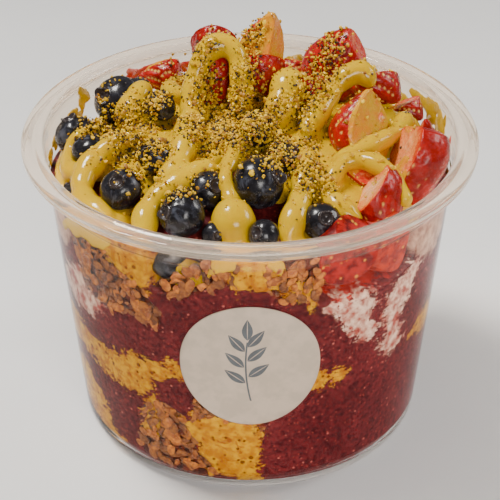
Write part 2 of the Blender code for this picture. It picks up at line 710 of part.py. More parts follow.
def spline_points(points, step):
    """Points every step or so along a smooth curve through the given ones."""
    padded = [points[0]] + points + [points[-1]]
    found = []
    for before, start, end, after in zip(padded, padded[1:], padded[2:], padded[3:]):
        length = math.dist(start, end)
        pieces = max(1, round(length / step))
        for index in range(pieces):
            t = index / pieces
            found.append(tuple(
                0.5 * (2 * s + (e - b) * t + (2 * b - 5 * s + 4 * e - a) * t * t
                       + (3 * s - b - 3 * e + a) * t ** 3)
                for b, s, e, a in zip(before, start, end, after)))
    found.append(points[-1])
    return found


def rope_mesh(radius, points):
    """Round-ended rope of sauce that lies on the heap."""
    line = [Vector(point) for point in spline_points(points, ROPE_STEP)]
    rings = []
    for index, centre in enumerate(line):
        along = (line[min(index + 1, len(line) - 1)] - line[max(index - 1, 0)]).normalized()
        side = along.cross(Vector((0, 0, 1))).normalized()
        up = side.cross(along)
        size = radius * (0.75 if index in (0, len(line) - 1) else 1.0)
        ring = []
        for step in range(ROPE_SEGMENTS):
            turn = math.tau * step / ROPE_SEGMENTS
            ring.append(centre + side * (size * math.cos(turn)) + up * (size * math.sin(turn)))
        rings.append(ring)
    ahead = (line[0] - line[1]).normalized() * radius * 0.7
    behind = (line[-1] - line[-2]).normalized() * radius * 0.7
    return closed_rings(line[0] + ahead, rings, line[-1] + behind)


def make_sauce(tools):
    def bottom(x, y):
        return granola_top(x, y) + LAYER_GAP

    def top(x, y):
        return dome_height(SAUCE_TOP, SAUCE_CENTRE, x, y)

    def underside(x, y):
        return bottom(x, y) + SAUCE_LIFT

    work = layer_mesh(underside, top, setback_of=lambda angle: height_at(SAUCE_GAP, angle))
    sauce = put_object("mango_sauce", work, "mango_sauce")
    ropes = [put_object("rope", rope_mesh(*rope), "mango_sauce") for rope in SAUCE_ROPES]
    solve(sauce, "UNION", ropes, "MANIFOLD")
    granola = lambda: put_object("tool", layer_mesh(
        lambda x, y: 55.0, lambda x, y: bottom(x, y) - HIDDEN_STEP), "granola")
    carve(sauce, tools + [granola], "MANIFOLD")
    simplify(sauce, SAUCE_SHARE)


def build():
    clear_scene()
    make_tub()
    make_sticker()
    fruit = make_fruit()
    pockets = make_pockets()
    make_layers(pockets + fruit)
    make_granola(pockets + fruit)
    make_sauce(fruit)


build()
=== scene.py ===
import math
import random

import bmesh
import bpy
import numpy as np
from mathutils import Matrix, Vector
from mathutils.bvhtree import BVHTree


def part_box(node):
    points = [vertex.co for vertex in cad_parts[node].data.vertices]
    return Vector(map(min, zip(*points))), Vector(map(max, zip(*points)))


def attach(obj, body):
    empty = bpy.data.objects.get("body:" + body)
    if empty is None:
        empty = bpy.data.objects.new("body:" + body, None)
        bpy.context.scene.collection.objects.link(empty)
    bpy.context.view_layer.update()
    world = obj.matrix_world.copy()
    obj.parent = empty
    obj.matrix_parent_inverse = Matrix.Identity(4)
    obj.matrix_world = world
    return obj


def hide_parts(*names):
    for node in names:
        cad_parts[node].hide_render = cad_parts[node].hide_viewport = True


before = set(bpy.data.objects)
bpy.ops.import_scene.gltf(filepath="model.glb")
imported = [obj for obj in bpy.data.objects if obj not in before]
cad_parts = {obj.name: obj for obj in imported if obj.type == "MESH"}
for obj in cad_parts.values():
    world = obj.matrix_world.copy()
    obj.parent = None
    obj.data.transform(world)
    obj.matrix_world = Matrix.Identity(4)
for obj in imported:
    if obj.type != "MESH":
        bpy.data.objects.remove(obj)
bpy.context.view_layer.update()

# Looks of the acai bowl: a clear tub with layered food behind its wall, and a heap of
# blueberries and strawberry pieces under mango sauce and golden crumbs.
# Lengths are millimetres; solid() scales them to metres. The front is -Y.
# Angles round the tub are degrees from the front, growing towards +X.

MM = 0.001

# The tub, with its rim radius and height read from model.glb
TUB_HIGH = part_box("tub")[1]
RIM_RADIUS = TUB_HIGH[0] / MM
TUB_HEIGHT = TUB_HIGH[2] / MM
FLOOR_Z = 2.2
WALL_THICKNESS = 0.6
# Inside of the wall: (radius, height) of floor, corner, wall foot, lid ledge and wall top
INSIDE = [(42.0, 2.2), (43.6, 3.4), (44.6, 6.4), (51.6, 72.1), (52.35, 78.6)]

# Surface of the food at the wall and in the middle
SAUCE_LINE = [(-180, 69), (-120, 69.5), (-80, 71.5), (-60, 73), (-45, 74), (-20, 75),
              (0, 75), (18, 74.5), (30, 73), (50, 72), (80, 70.5), (120, 69)]
SAUCE_CENTRE = 85.5
# Gap between the sauce and the wall: (angle, gap)
SAUCE_GAP = [(-180, 2.5), (-80, 1.5), (-54, 0), (-38, 0), (-32, 3), (-15, 3), (-9, 0), (7, 0),
             (14, 3.3), (40, 5.5), (72, 5), (90, 2.5)]

# Camera that matches the photograph
CAMERA_PLACE = (0.0, -472.5, 340.6)
CAMERA_TILT = 58.042
CAMERA_LENS = 151.3
LIGHTS_AIM = (0, 0, 60)
FLOOR_HALF = 1500.0


# Helpers for numbers

def smooth_step(share):
    share = np.clip(share, 0.0, 1.0)
    return share * share * (3.0 - 2.0 * share)


def inside_radius(height):
    """Radius of the tub's inside at a height, or at an array of heights."""
    heights = [point[1] for point in INSIDE]
    radii = [point[0] for point in INSIDE]
    return np.interp(height, heights, radii)


def height_at(table, angle):
    """Smoothly joined (angle, height) pairs that run once round the tub."""
    angle = (np.asarray(angle, float) + 180.0) % 360.0 - 180.0
    points = table + [(table[0][0] + 360, table[0][1])]
    result = np.zeros_like(angle)
    for (low, start), (high, end) in zip(points, points[1:]):
        inside = (angle >= low) & (angle <= high)
        rise = start + (end - start) * smooth_step((angle - low) / (high - low))
        result = np.where(inside, rise, result)
    return result


def dome_height(x, y):
    """Height of the sauce blanket."""
    angle = np.degrees(np.arctan2(x, -y))
    share = np.clip((x * x + y * y) / INSIDE[3][0] ** 2, 0.0, 1.0)
    return SAUCE_CENTRE + (height_at(SAUCE_LINE, angle) - SAUCE_CENTRE) * share


def on_wall(angle, radius, height):
    turn = math.radians(angle)
    return Vector((radius * math.sin(turn), -radius * math.cos(turn), height))


def lattice(cells, seed):
    """Repeatable random number from 0 to 1 for whole-number cells."""
    mixed = cells[..., 0] * 374761393 + cells[..., 1] * 668265263 + cells[..., 2] * 2147483647
    mixed = (mixed + seed * 1274126177) & 0xFFFFFFFF
    mixed = ((mixed ^ (mixed >> 13)) * 1274126177) & 0xFFFFFFFF
    return ((mixed ^ (mixed >> 16)) & 0xFFFF) / 65535.0


def noise(points, size, seed):
    """Smooth noise from 0 to 1 at points, with bumps about this many millimetres across."""
    places = np.asarray(points, float) / size + 1000.0
    cells = np.floor(places).astype(np.int64)
    blend = smooth_step(places - cells)
    total = 0.0
    for corner in range(8):
        step = np.array([(corner >> axis) & 1 for axis in range(3)])
        weight = np.prod(np.where(step, blend, 1.0 - blend), axis=-1)
        total = total + weight * lattice(cells + step, seed)
    return total


def fine_noise(points, size, seed):
    """Noise from 0 to 1 with two finer layers on it."""
    layers = [0.5 ** octave * noise(points, size / 2 ** octave, seed + octave)
              for octave in range(3)]
    return (layers[0] + layers[1] + layers[2]) / 1.75


def patch_field(angles, heights, outline):
    """Millimetres inside (+) or outside (-) an outline of (angle, height) on the wall."""
    middle = sum(angle for angle, height in outline) / len(outline)
    turned = (angles - middle + 180.0) % 360.0 - 180.0
    scale = math.radians(1.0) * inside_radius(40.0)
    x, y = turned * scale, heights
    corners = [((angle - middle) * scale, height) for angle, height in outline]
    nearest = np.full(x.shape, 1e9)
    inside = np.zeros(x.shape, bool)
    for (ax, ay), (bx, by) in zip(corners, corners[1:] + corners[:1]):
        ex, ey = bx - ax, by - ay
        share = np.clip(((x - ax) * ex + (y - ay) * ey) / (ex * ex + ey * ey), 0.0, 1.0)
        nearest = np.minimum(nearest, np.hypot(x - ax - share * ex, y - ay - share * ey))
        crosses = (ay > y) != (by > y)
        inside ^= crosses & (x < ax + (y - ay) / (by - ay + 1e-12) * ex)
    return np.where(inside, nearest, -nearest)


# Meshes

def solid(name, points, faces, material, smooth=True):
    """Mesh object from points in millimetres."""
    mesh = bpy.data.meshes.new(name)
    mesh.from_pydata([tuple(point) for point in np.asarray(points, float) * MM], [], faces)
    mesh.update()
    if smooth:
        mesh.shade_smooth()
    made = bpy.data.objects.new(name, mesh)
    bpy.context.collection.objects.link(made)
    mesh.materials.append(material)
    return made


def ring_faces(rings, count):
    """Faces of a closed body: a first point, rings of equal length and a last point."""
    faces = []
    top = 1 + (rings - 1) * count
    for index in range(count):
        following = (index + 1) % count
        faces.append((0, 1 + following, 1 + index))
        for low in range(1, top, count):
            high = low + count
            faces.append((low + index, low + following, high + following, high + index))
        faces.append((top + index, top + following, top + count))
    return faces


def turned_body(name, profile, segments, material):
    """Body turned from (radius, height) pairs; the first and last pair lie on the axis."""
    turns = np.arange(segments) * math.tau / segments
    rings = [np.stack([radius * np.sin(turns), -radius * np.cos(turns), 0.0 * turns + height], axis=1)
             for radius, height in profile[1:-1]]
    points = np.concatenate([[(0, 0, profile[0][1])], *rings, [(0, 0, profile[-1][1])]])
    return solid(name, points, ring_faces(len(profile) - 2, segments), material)


def add_values(target, name, values):
    """A number per point that the material reads by name."""
    layer = target.data.attributes.new(name, "FLOAT", "POINT")
    layer.data.foreach_set("value", np.asarray(values, np.float32))


def rounded(points, step):
    """Points every step or so along a smooth curve through the given ones."""
    padded = [points[0]] + list(points) + [points[-1]]
    found = []
    for before, start, end, after in zip(padded, padded[1:], padded[2:], padded[3:]):
        pieces = max(1, round(math.dist(start, end) / step))
        for index in range(pieces):
            t = index / pieces
            found.append(tuple(
                0.5 * (2 * s + (e - b) * t + (2 * b - 5 * s + 4 * e - a) * t * t
                       + (3 * s - b - 3 * e + a) * t ** 3)
                for b, s, e, a in zip(before, start, end, after)))
    found.append(tuple(points[-1]))
    return found


# Material helpers

def add_node(tree, kind, settings=(), **sockets):
    """Node with its settings; each socket is set to a value or linked to an output."""
    made = tree.nodes.new("ShaderNode" + kind)
    for key, value in dict(settings).items():
        setattr(made, key, value)
    for key, value in sockets.items():
        join(tree, value, made.inputs[key.replace("_", " ").title()])
    return made


def join(tree, value, socket):
    if isinstance(value, bpy.types.NodeSocket):
        tree.links.new(value, socket)
    elif hasattr(value, "__len__") and len(value) == 3 and len(socket.default_value) == 4:
        socket.default_value = (*value, 1.0)
    else:
        socket.default_value = value


def sums(tree, operation, first, second=0.5, third=0.5, clamp=False):
    made = add_node(tree, "Math", {"operation": operation, "use_clamp": clamp})
    for socket, value in zip(made.inputs, (first, second, third)):
        join(tree, value, socket)
    return made.outputs[0]


def ramp(tree, value, low, high, start=0.0, end=1.0):
    """Value from low..high mapped smoothly to start..end."""
    made = add_node(tree, "MapRange", {"interpolation_type": "SMOOTHSTEP"})
    for key, entry in (("Value", value), ("From Min", low), ("From Max", high),
                       ("To Min", start), ("To Max", end)):
        join(tree, entry, made.inputs[key])
    return made.outputs[0]


def mixed(tree, share, first, second):
    made = add_node(tree, "Mix", {"data_type": "RGBA"})
    join(tree, share, made.inputs[0])
    join(tree, first, made.inputs[6])
    join(tree, second, made.inputs[7])
    return made.outputs[2]


def shaded(tree, share, first, second):
    """First colour multiplied by the second."""
    made = add_node(tree, "Mix", {"data_type": "RGBA", "blend_type": "MULTIPLY"})
    for index, value in ((0, share), (6, first), (7, second)):
        join(tree, value, made.inputs[index])
    return made.outputs[2]


def value_of(tree, name):
    return add_node(tree, "Attribute", {"attribute_name": name}).outputs["Fac"]


def place(tree):
    return add_node(tree, "TexCoord").outputs["Object"]


def grain_noise(tree, size, detail=3.0, roughness=0.6, distortion=0.0):
    """Noise whose bumps are about this many millimetres across."""
    return add_node(tree, "TexNoise", Vector=place(tree), Scale=1.0 / (size * MM), Detail=detail,
                    Roughness=roughness, Distortion=distortion).outputs["Fac"]


def new_material(name):
    made = bpy.data.materials.new(name)
    made.use_nodes = True
    tree = made.node_tree
    return made, tree, tree.nodes["Principled BSDF"]


def set_shader(tree, shader, **sockets):
    for key, value in sockets.items():
        join(tree, value, shader.inputs[key.replace("_", " ").title().replace("Ior", "IOR")])


def bump(tree, shader, height, distance, strength=1.0):
    """Relief of this many millimetres from a height of 0 to 1."""
    made = add_node(tree, "Bump", Strength=strength, Distance=distance * MM, Height=height)
    tree.links.new(made.outputs[0], shader.inputs["Normal"])


def new_group(name, inputs, outputs):
    """Node group with named sockets: (name, kind, value)."""
    group = bpy.data.node_groups.new(name, "ShaderNodeTree")
    for label, kind, value in inputs:
        socket = group.interface.new_socket(label, in_out="INPUT", socket_type=kind)
        if kind == "NodeSocketColor":
            socket.default_value = (*value, 1.0)
        else:
            socket.default_value = value
    for label, kind in outputs:
        group.interface.new_socket(label, in_out="OUTPUT", socket_type=kind)
    return group, group.nodes.new("NodeGroupInput"), group.nodes.new("NodeGroupOutput")


def use_group(tree, group, **sockets):
    made = tree.nodes.new("ShaderNodeGroup")
    made.node_tree = group
    for key, value in sockets.items():
        join(tree, value, made.inputs[key.replace("_", " ").title()])
    return made


def make_mottle_group():
    """Two colours in soft patches."""
    group, given, out = new_group(
        "soft_mottle",
        [("Light Colour", "NodeSocketColor", (1, 1, 1)),
         ("Dark Colour", "NodeSocketColor", (0, 0, 0)),
         ("Scale", "NodeSocketFloat", 300.0), ("Contrast", "NodeSocketFloat", 0.2)],
        [("Colour", "NodeSocketColor")])
    spread = add_node(group, "TexNoise", Vector=place(group), Scale=given.outputs["Scale"],
                      Detail=4.0, Roughness=0.6).outputs["Fac"]
    low = sums(group, "SUBTRACT", 0.5, given.outputs["Contrast"])
    high = sums(group, "ADD", 0.5, given.outputs["Contrast"])
    share = ramp(group, spread, low, high)
    colour = mixed(group, share, given.outputs["Dark Colour"], given.outputs["Light Colour"])
    group.links.new(colour, out.inputs["Colour"])
    return group


def make_speck_group():
    """Mask of small scattered specks; Amount is the share of cells that hold one."""
    group, given, out = new_group(
        "fine_specks",
        [("Scale", "NodeSocketFloat", 900.0), ("Amount", "NodeSocketFloat", 0.2),
         ("Size", "NodeSocketFloat", 0.3)],
        [("Mask", "NodeSocketFloat")])
    cells = add_node(group, "TexVoronoi", Vector=place(group), Scale=given.outputs["Scale"])
    drawn = add_node(group, "SeparateColor", Color=cells.outputs["Color"]).outputs["Red"]
    chosen = sums(group, "LESS_THAN", drawn, given.outputs["Amount"])
    near = sums(group, "SUBTRACT", given.outputs["Size"], cells.outputs["Distance"])
    round_mask = ramp(group, near, 0.0, 0.12)
    group.links.new(sums(group, "MULTIPLY", chosen, round_mask), out.inputs["Mask"])
    return group


def make_ragged_group():
    """Mask of a field in millimetres whose edge is torn by noise."""
    group, given, out = new_group(
        "ragged_edge",
        [("Field", "NodeSocketFloat", 0.0), ("Amount", "NodeSocketFloat", 3.0),
         ("Scale", "NodeSocketFloat", 250.0), ("Softness", "NodeSocketFloat", 0.4)],
        [("Mask", "NodeSocketFloat")])
    spread = add_node(group, "TexNoise", Vector=place(group), Scale=given.outputs["Scale"],
                      Detail=5.0, Roughness=0.68, Distortion=0.4).outputs["Fac"]
    drawn_out = add_node(group, "VectorMath", {"operation": "MULTIPLY"})
    join(group, place(group), drawn_out.inputs[0])
    drawn_out.inputs[1].default_value = (0.4, 0.4, 1.5)
    streaks = add_node(group, "TexNoise", Vector=drawn_out.outputs[0],
                       Scale=given.outputs["Scale"], Detail=6.0, Roughness=0.7,
                       Distortion=1.2).outputs["Fac"]
    crisp = add_node(group, "TexNoise", Vector=place(group), Scale=1400.0, Detail=3.0,
                     Roughness=0.7).outputs["Fac"]
    both = sums(group, "ADD", spread, streaks)
    all_three = sums(group, "MULTIPLY_ADD", crisp, 0.35, both)
    centred = sums(group, "SUBTRACT", all_three, 1.175)
    shift = sums(group, "MULTIPLY", centred, given.outputs["Amount"])
    field = sums(group, "ADD", given.outputs["Field"], shift)
    negative = sums(group, "MULTIPLY", given.outputs["Softness"], -1.0)
    group.links.new(ramp(group, field, negative, given.outputs["Softness"]), out.inputs["Mask"])
    return group


MOTTLE = make_mottle_group()
SPECKS = make_speck_group()
RAGGED = make_ragged_group()


def mottle(tree, light, dark, size, contrast=0.2):
    return use_group(tree, MOTTLE, light_colour=light, dark_colour=dark,
                     scale=1.0 / (size * MM), contrast=contrast).outputs["Colour"]


def specks(tree, size, amount, radius):
    return use_group(tree, SPECKS, scale=1.0 / (size * MM), amount=amount,
                     size=radius).outputs["Mask"]


def speckled(tree, colour, tint, size, amount, radius, strength):
    """Colour with scattered specks of a tint."""
    mask = sums(tree, "MULTIPLY", specks(tree, size, amount, radius), strength)
    return mixed(tree, mask, colour, tint)


def ragged(tree, field, amount, size, softness):
    return use_group(tree, RAGGED, field=value_of(tree, field), amount=amount,
                     scale=1.0 / (size * MM), softness=softness).outputs["Mask"]


# Camera, floor and light

def seated(name, data, place_at, turn):
    seat = bpy.data.objects.new(name, data)
    seat.location = Vector(place_at) * MM
    seat.rotation_euler = turn
    bpy.context.collection.objects.link(seat)
    return seat


def make_camera():
    camera = bpy.data.cameras.new("camera")
    camera.lens = CAMERA_LENS
    camera.sensor_width = 36.0
    camera.clip_start = 0.01
    turn = (math.radians(CAMERA_TILT), 0.0, 0.0)
    bpy.context.scene.camera = seated("camera", camera, CAMERA_PLACE, turn)


def make_area(name, place_at, size, power, colour):
    lamp = bpy.data.lights.new(name, "AREA")
    lamp.shape = "RECTANGLE"
    lamp.size, lamp.size_y = size[0] * MM, size[1] * MM
    lamp.energy = power
    lamp.color = colour
    way = Vector(LIGHTS_AIM) - Vector(place_at)
    seated(name, lamp, place_at, way.to_track_quat("-Z", "Y").to_euler())


def make_studio():
    material, tree, shader = new_material("pale_floor")
    tone = mottle(tree, (0.86, 0.86, 0.86), (0.83, 0.83, 0.83), 60.0)
    set_shader(tree, shader, base_color=tone, roughness=0.9)
    corners = [(x * FLOOR_HALF, y * FLOOR_HALF, 0) for x, y in ((-1, -1), (1, -1), (1, 1), (-1, 1))]
    floor = solid("floor", corners, [(0, 1, 2, 3)], material, smooth=False)
    world = bpy.data.worlds.new("studio")
    world.use_nodes = True
    back = world.node_tree.nodes["Background"]
    back.inputs["Color"].default_value = (1.0, 0.985, 0.96, 1.0)
    # The clear rim takes its light from a brighter sky than the food does
    through = add_node(world.node_tree, "LightPath").outputs["Is Transmission Ray"]
    join(world.node_tree, ramp(world.node_tree, through, 0.0, 1.0, 0.15, 0.9),
         back.inputs["Strength"])
    bpy.context.scene.world = world
    make_area("key_light", (-190, 60, 480), (120, 120), 3.4, (1.0, 0.97, 0.92))
    make_area("front_light", (130, -520, 330), (260, 200), 2.1, (1.0, 0.97, 0.93))
    make_area("side_light", (420, 100, 330), (200, 160), 1.15, (1.0, 0.97, 0.93))


# Tub and sticker

# Above the food the plastic is partly tinted and partly painted with the reflection of a warm
# backdrop
PLASTIC_LOW = (0.985, 0.965, 0.945)
PLASTIC_HIGH_TINT_AND_REFLECTION = (0.94, 0.82, 0.69)
PLASTIC_SHADE = (0.97, 0.94, 0.91)
# From the wall's top round the rim to its inside: how far in from the rim's edge and how far down
RIM_LINE = [(1.25, 2.15), (1.0, 2.35), (0.95, 2.65), (0.65, 2.77), (0.35, 2.65), (0.08, 2.05),
            (0, 1.55), (0.02, 0.75), (0.25, 0.35), (0.7, 0.08), (1.3, 0), (2.1, 0.1), (2.7, 0.45),
            (3.0, 0.62), (3.4, 0.5), (3.8, 0.2), (4.3, 0.1), (4.9, 0.22), (5.4, 0.6), (5.85, 1.5)]
FLANGE_DROP = 2.15
# From the middle of the underside over the foot ring to the corner
FOOT_LINE = [(0, 1.6), (20, 1.6), (37.8, 1.6), (39.2, 1.1), (39.9, 0.15), (40.2, 0.0), (41.3, 0.0),
             (42.2, 0.18), (43.3, 0.85), (44.2, 2.0), (44.85, 3.5)]
# From the ledge for the lid up the inside: how far out and how far up
LEDGE_LINE = [(0.12, 0.2), (0.36, 0.45), (0.42, 0.8)]
FLOOR_LINE = [(44.25, 4.6), (43.6, 3.4), (42.9, 2.6), (42.0, 2.25), (38, 2.2), (20, 2.2), (0, 2.2)]
WALL_STEPS = 24
STICKER_HALF_WIDTH = 17.75
STICKER_THICKNESS = 0.16


def plastic_material(name, refraction, clearness=1.0, roughness=0.03):
    """Clear plastic, warmer above the food, where its tint also carries a painted reflection of a
    warm backdrop; light passes straight through to what it holds.
    """
    material, tree, shader = new_material(name)
    height = add_node(tree, "SeparateXYZ", Vector=place(tree)).outputs["Z"]
    # Painted reflection: the plastic turns warm beige above the food, partly its own tint
    upper_tint_and_reflection = ramp(tree, height, 0.068, 0.078)
    tint = mixed(tree, upper_tint_and_reflection, PLASTIC_LOW, PLASTIC_HIGH_TINT_AND_REFLECTION)
    set_shader(tree, shader, base_color=tint, roughness=roughness, ior=refraction,
               transmission_weight=clearness)
    bump(tree, shader, grain_noise(tree, 11.0, 2.0), 0.12, 0.3)
    clear = add_node(tree, "BsdfTransparent", Color=PLASTIC_SHADE)
    shadow = add_node(tree, "LightPath").outputs["Is Shadow Ray"]
    blend = tree.nodes.new("ShaderNodeMixShader")
    join(tree, shadow, blend.inputs[0])
    tree.links.new(shader.outputs[0], blend.inputs[1])
    tree.links.new(clear.outputs[0], blend.inputs[2])
    tree.links.new(blend.outputs[0], tree.nodes["Material Output"].inputs["Surface"])
    return material


def make_tub():
    foot, ledge, top = INSIDE[2:]
    flange = TUB_HEIGHT - FLANGE_DROP
    climb = [tuple(low + index / WALL_STEPS * (high - low) for low, high in zip(foot, ledge))
             for index in range(WALL_STEPS + 1)]
    inside = climb + [(ledge[0] + out, ledge[1] + up) for out, up in LEDGE_LINE] + [top]
    outside = [(radius + WALL_THICKNESS, height) for radius, height in inside]
    outside += [(outside[-1][0] + 0.2, flange - 0.15), (outside[-1][0] + 0.7, flange)]
    rim = [(RIM_RADIUS - inward, TUB_HEIGHT - down) for inward, down in RIM_LINE]
    tub = turned_body("tub_fine", FOOT_LINE + outside + rim + inside[::-1] + FLOOR_LINE, 256,
                      plastic_material("clear_wall", 1.12))
    tub.data.materials.append(plastic_material("cloudy_wall", 1.14, 0.98, 0.04))
    tub.data.materials.append(plastic_material("cloudy_rim", 1.28, 0.90, 0.06))
    for face in tub.data.polygons:
        height = face.center.z / MM
        face.material_index = 2 if height > INSIDE[4][1] - 0.4 else int(height > INSIDE[3][1] + 0.6)
    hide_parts("tub")
    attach(tub, "root")


def make_sticker():
    low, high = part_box("sticker")
    middle = (low[2] + high[2]) / 2 / MM
    half_tall = (high[2] - low[2]) / 2 / MM
    segments, rows = 96, 16

    def ring(share, lift):
        points = []
        for index in range(segments):
            turn = math.tau * index / segments
            height = middle + share * half_tall * math.cos(turn)
            radius = inside_radius(height) + WALL_THICKNESS + lift
            arc = share * STICKER_HALF_WIDTH * math.sin(turn)
            points.append(on_wall(math.degrees(arc / radius), radius, height))
        return points

    shares = [index / rows for index in range(1, rows)] + [0.985, 1.0]
    radius = inside_radius(middle) + WALL_THICKNESS
    points = [on_wall(0, radius - 0.05, middle)]
    for share in (0.5, 1.0):
        points += ring(share, -0.05)
    for share in reversed(shares):
        points += ring(share, STICKER_THICKNESS * (0.55 if share == 1.0 else 1.0))
    points.append(on_wall(0, radius + STICKER_THICKNESS, middle))
    material, tree, shader = new_material("sticker_paper")
    tone = mottle(tree, (0.65, 0.51, 0.385), (0.57, 0.445, 0.335), 5.0, 0.12)
    fibre = grain_noise(tree, 0.5, 3.0)
    set_shader(tree, shader, base_color=tone,
               roughness=ramp(tree, fibre, 0.3, 0.7, 0.48, 0.62))
    bump(tree, shader, fibre, 0.03, 0.5)
    faces = ring_faces(2 + len(shares), segments)
    label = solid("sticker_fine", points, faces, material)
    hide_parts("sticker")
    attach(label, "root")


# Food behind the wall: patches as outlines of (angle, height)

MANGO_PATCHES = [
    [(-84, 38), (-70, 38), (-60, 37), (-50, 36), (-44, 37), (-38, 40), (-30, 39.5), (-22, 40.5),
     (-16, 40), (-16, 36), (-24, 35), (-28, 33), (-31, 33), (-33, 28), (-37, 26), (-45, 26.5),
     (-52, 27), (-60, 28), (-70, 28.5), (-84, 28)],
    [(18, 38.5), (24, 37.5), (30, 36.8), (34, 36.2), (32, 35), (28, 33.5), (22, 33), (18, 33)],
    [(58, 36), (62, 38), (70, 40), (78, 39), (110, 38), (150, 37), (190, 37), (240, 37), (277, 38),
     (277, 28), (240, 29), (190, 30), (150, 30), (110, 31), (78, 32), (68, 32.5), (62, 34)],
    [(-84, 24), (-74, 22), (-68, 22.5), (-60, 20), (-54, 11), (-48, 4.5), (-50, 3), (-58, 4),
     (-64, 6), (-70, 9), (-76, 14), (-84, 14)],
    [(-24, 23), (-20, 22), (-14, 26), (-4, 25), (2, 24), (5, 19), (3, 14), (6, 8), (3, 4),
     (-6, 3.5), (-13, 5), (-16, 11), (-20, 17)],
    [(-37, 19), (-35, 25), (-31, 28), (-28, 24), (-30, 20), (-32, 14), (-35, 12)],
    [(-58, 71), (-50, 69), (-44, 66), (-38, 62), (-30, 63), (-22, 63.5), (-22, 68), (-27, 74),
     (-30, 82), (-50, 82), (-54, 76)],
    [(-6, 68), (-2, 66), (4, 65), (8, 67), (8, 82), (-6, 82)],
    [(9, 65), (12, 61), (17, 59.5), (20, 62), (18, 67), (12, 68)],
    [(100, 66), (140, 64), (180, 66), (215, 63), (250, 67), (262, 72), (262, 82), (100, 82)],
]
BERRY_PATCHES = [
    [(17, 79), (18.5, 68), (22, 62), (27, 58.5), (35, 59.5), (44, 61.5), (50, 66), (53, 79)],
    [(24, 60), (28, 60), (33, 52), (31, 48), (27, 54)],
]
CAVITY_PATCHES = [
    [(51, 76), (56, 77), (72, 75), (74, 62), (66, 58), (58, 61), (51, 66)],
    [(-76, 74), (-66, 74), (-60, 66), (-66, 60), (-76, 60)],
]
YOGURT_PATCHES = [
    [(-74, 50), (-66, 55), (-58, 57), (-52, 54), (-47, 50), (-54, 45), (-64, 43), (-72, 45)],
    [(-62, 73), (-52, 73), (-46, 68), (-50, 64), (-60, 66)],
    [(22, 57), (27, 59), (33, 59.5), (39, 57), (38, 51), (41, 44.5), (37, 42), (33, 46), (27, 52)],
    [(57, 62), (60, 60), (54, 53), (50, 47), (52, 37), (46, 35), (43, 38), (44, 46), (41, 52),
     (46, 58)],
    [(150, 56), (170, 58), (178, 53), (165, 49), (152, 51)],
]
GRANOLA_PATCHES = [
    [(-38, 20), (-34, 24), (-28, 26), (-22, 24), (-17, 12), (-12, 8), (-11, 4), (-22, 3),
     (-34, 4), (-39, 8)],
    [(-18, 31), (-10, 31), (-2, 28), (4, 25), (6, 20), (1, 22), (-8, 24), (-18, 23)],
    [(-60, 64), (-56, 52), (-46, 50), (-36, 52), (-27, 51), (-26, 55), (-32, 62), (-40, 65),
     (-46, 72), (-56, 74)],
    [(-27, 63), (-20, 62), (-12, 66), (-4, 67), (-3, 82), (-12, 82), (-16, 70), (-24, 68)],
    [(4, 68), (8, 62), (16, 61), (21, 64), (21, 82), (6, 82)],
    [(80, 62), (100, 60), (130, 61), (170, 60), (200, 62), (240, 60), (285, 61), (285, 70),
     (240, 66), (200, 69), (150, 66), (100, 70), (80, 71)],
    [(118, 12), (128, 18), (142, 16), (150, 8), (140, 4), (122, 5)],
]
FIELDS = {"mango_field": MANGO_PATCHES, "yogurt_field": YOGURT_PATCHES,
          "granola_field": GRANOLA_PATCHES, "berry_field": BERRY_PATCHES,
          "cavity_field": CAVITY_PATCHES}
# Fruit and hollows that lie against the wall: outline and depth of the hollow in the food
HOLLOWS = [
    ([(-30, 64), (-26, 77), (-14, 77), (-12, 67), (-18, 62.5), (-26, 62)], 5.0),
    ([(18, 61), (22, 79), (52, 79), (52, 62), (40, 60), (26, 59)], 5.5),
]


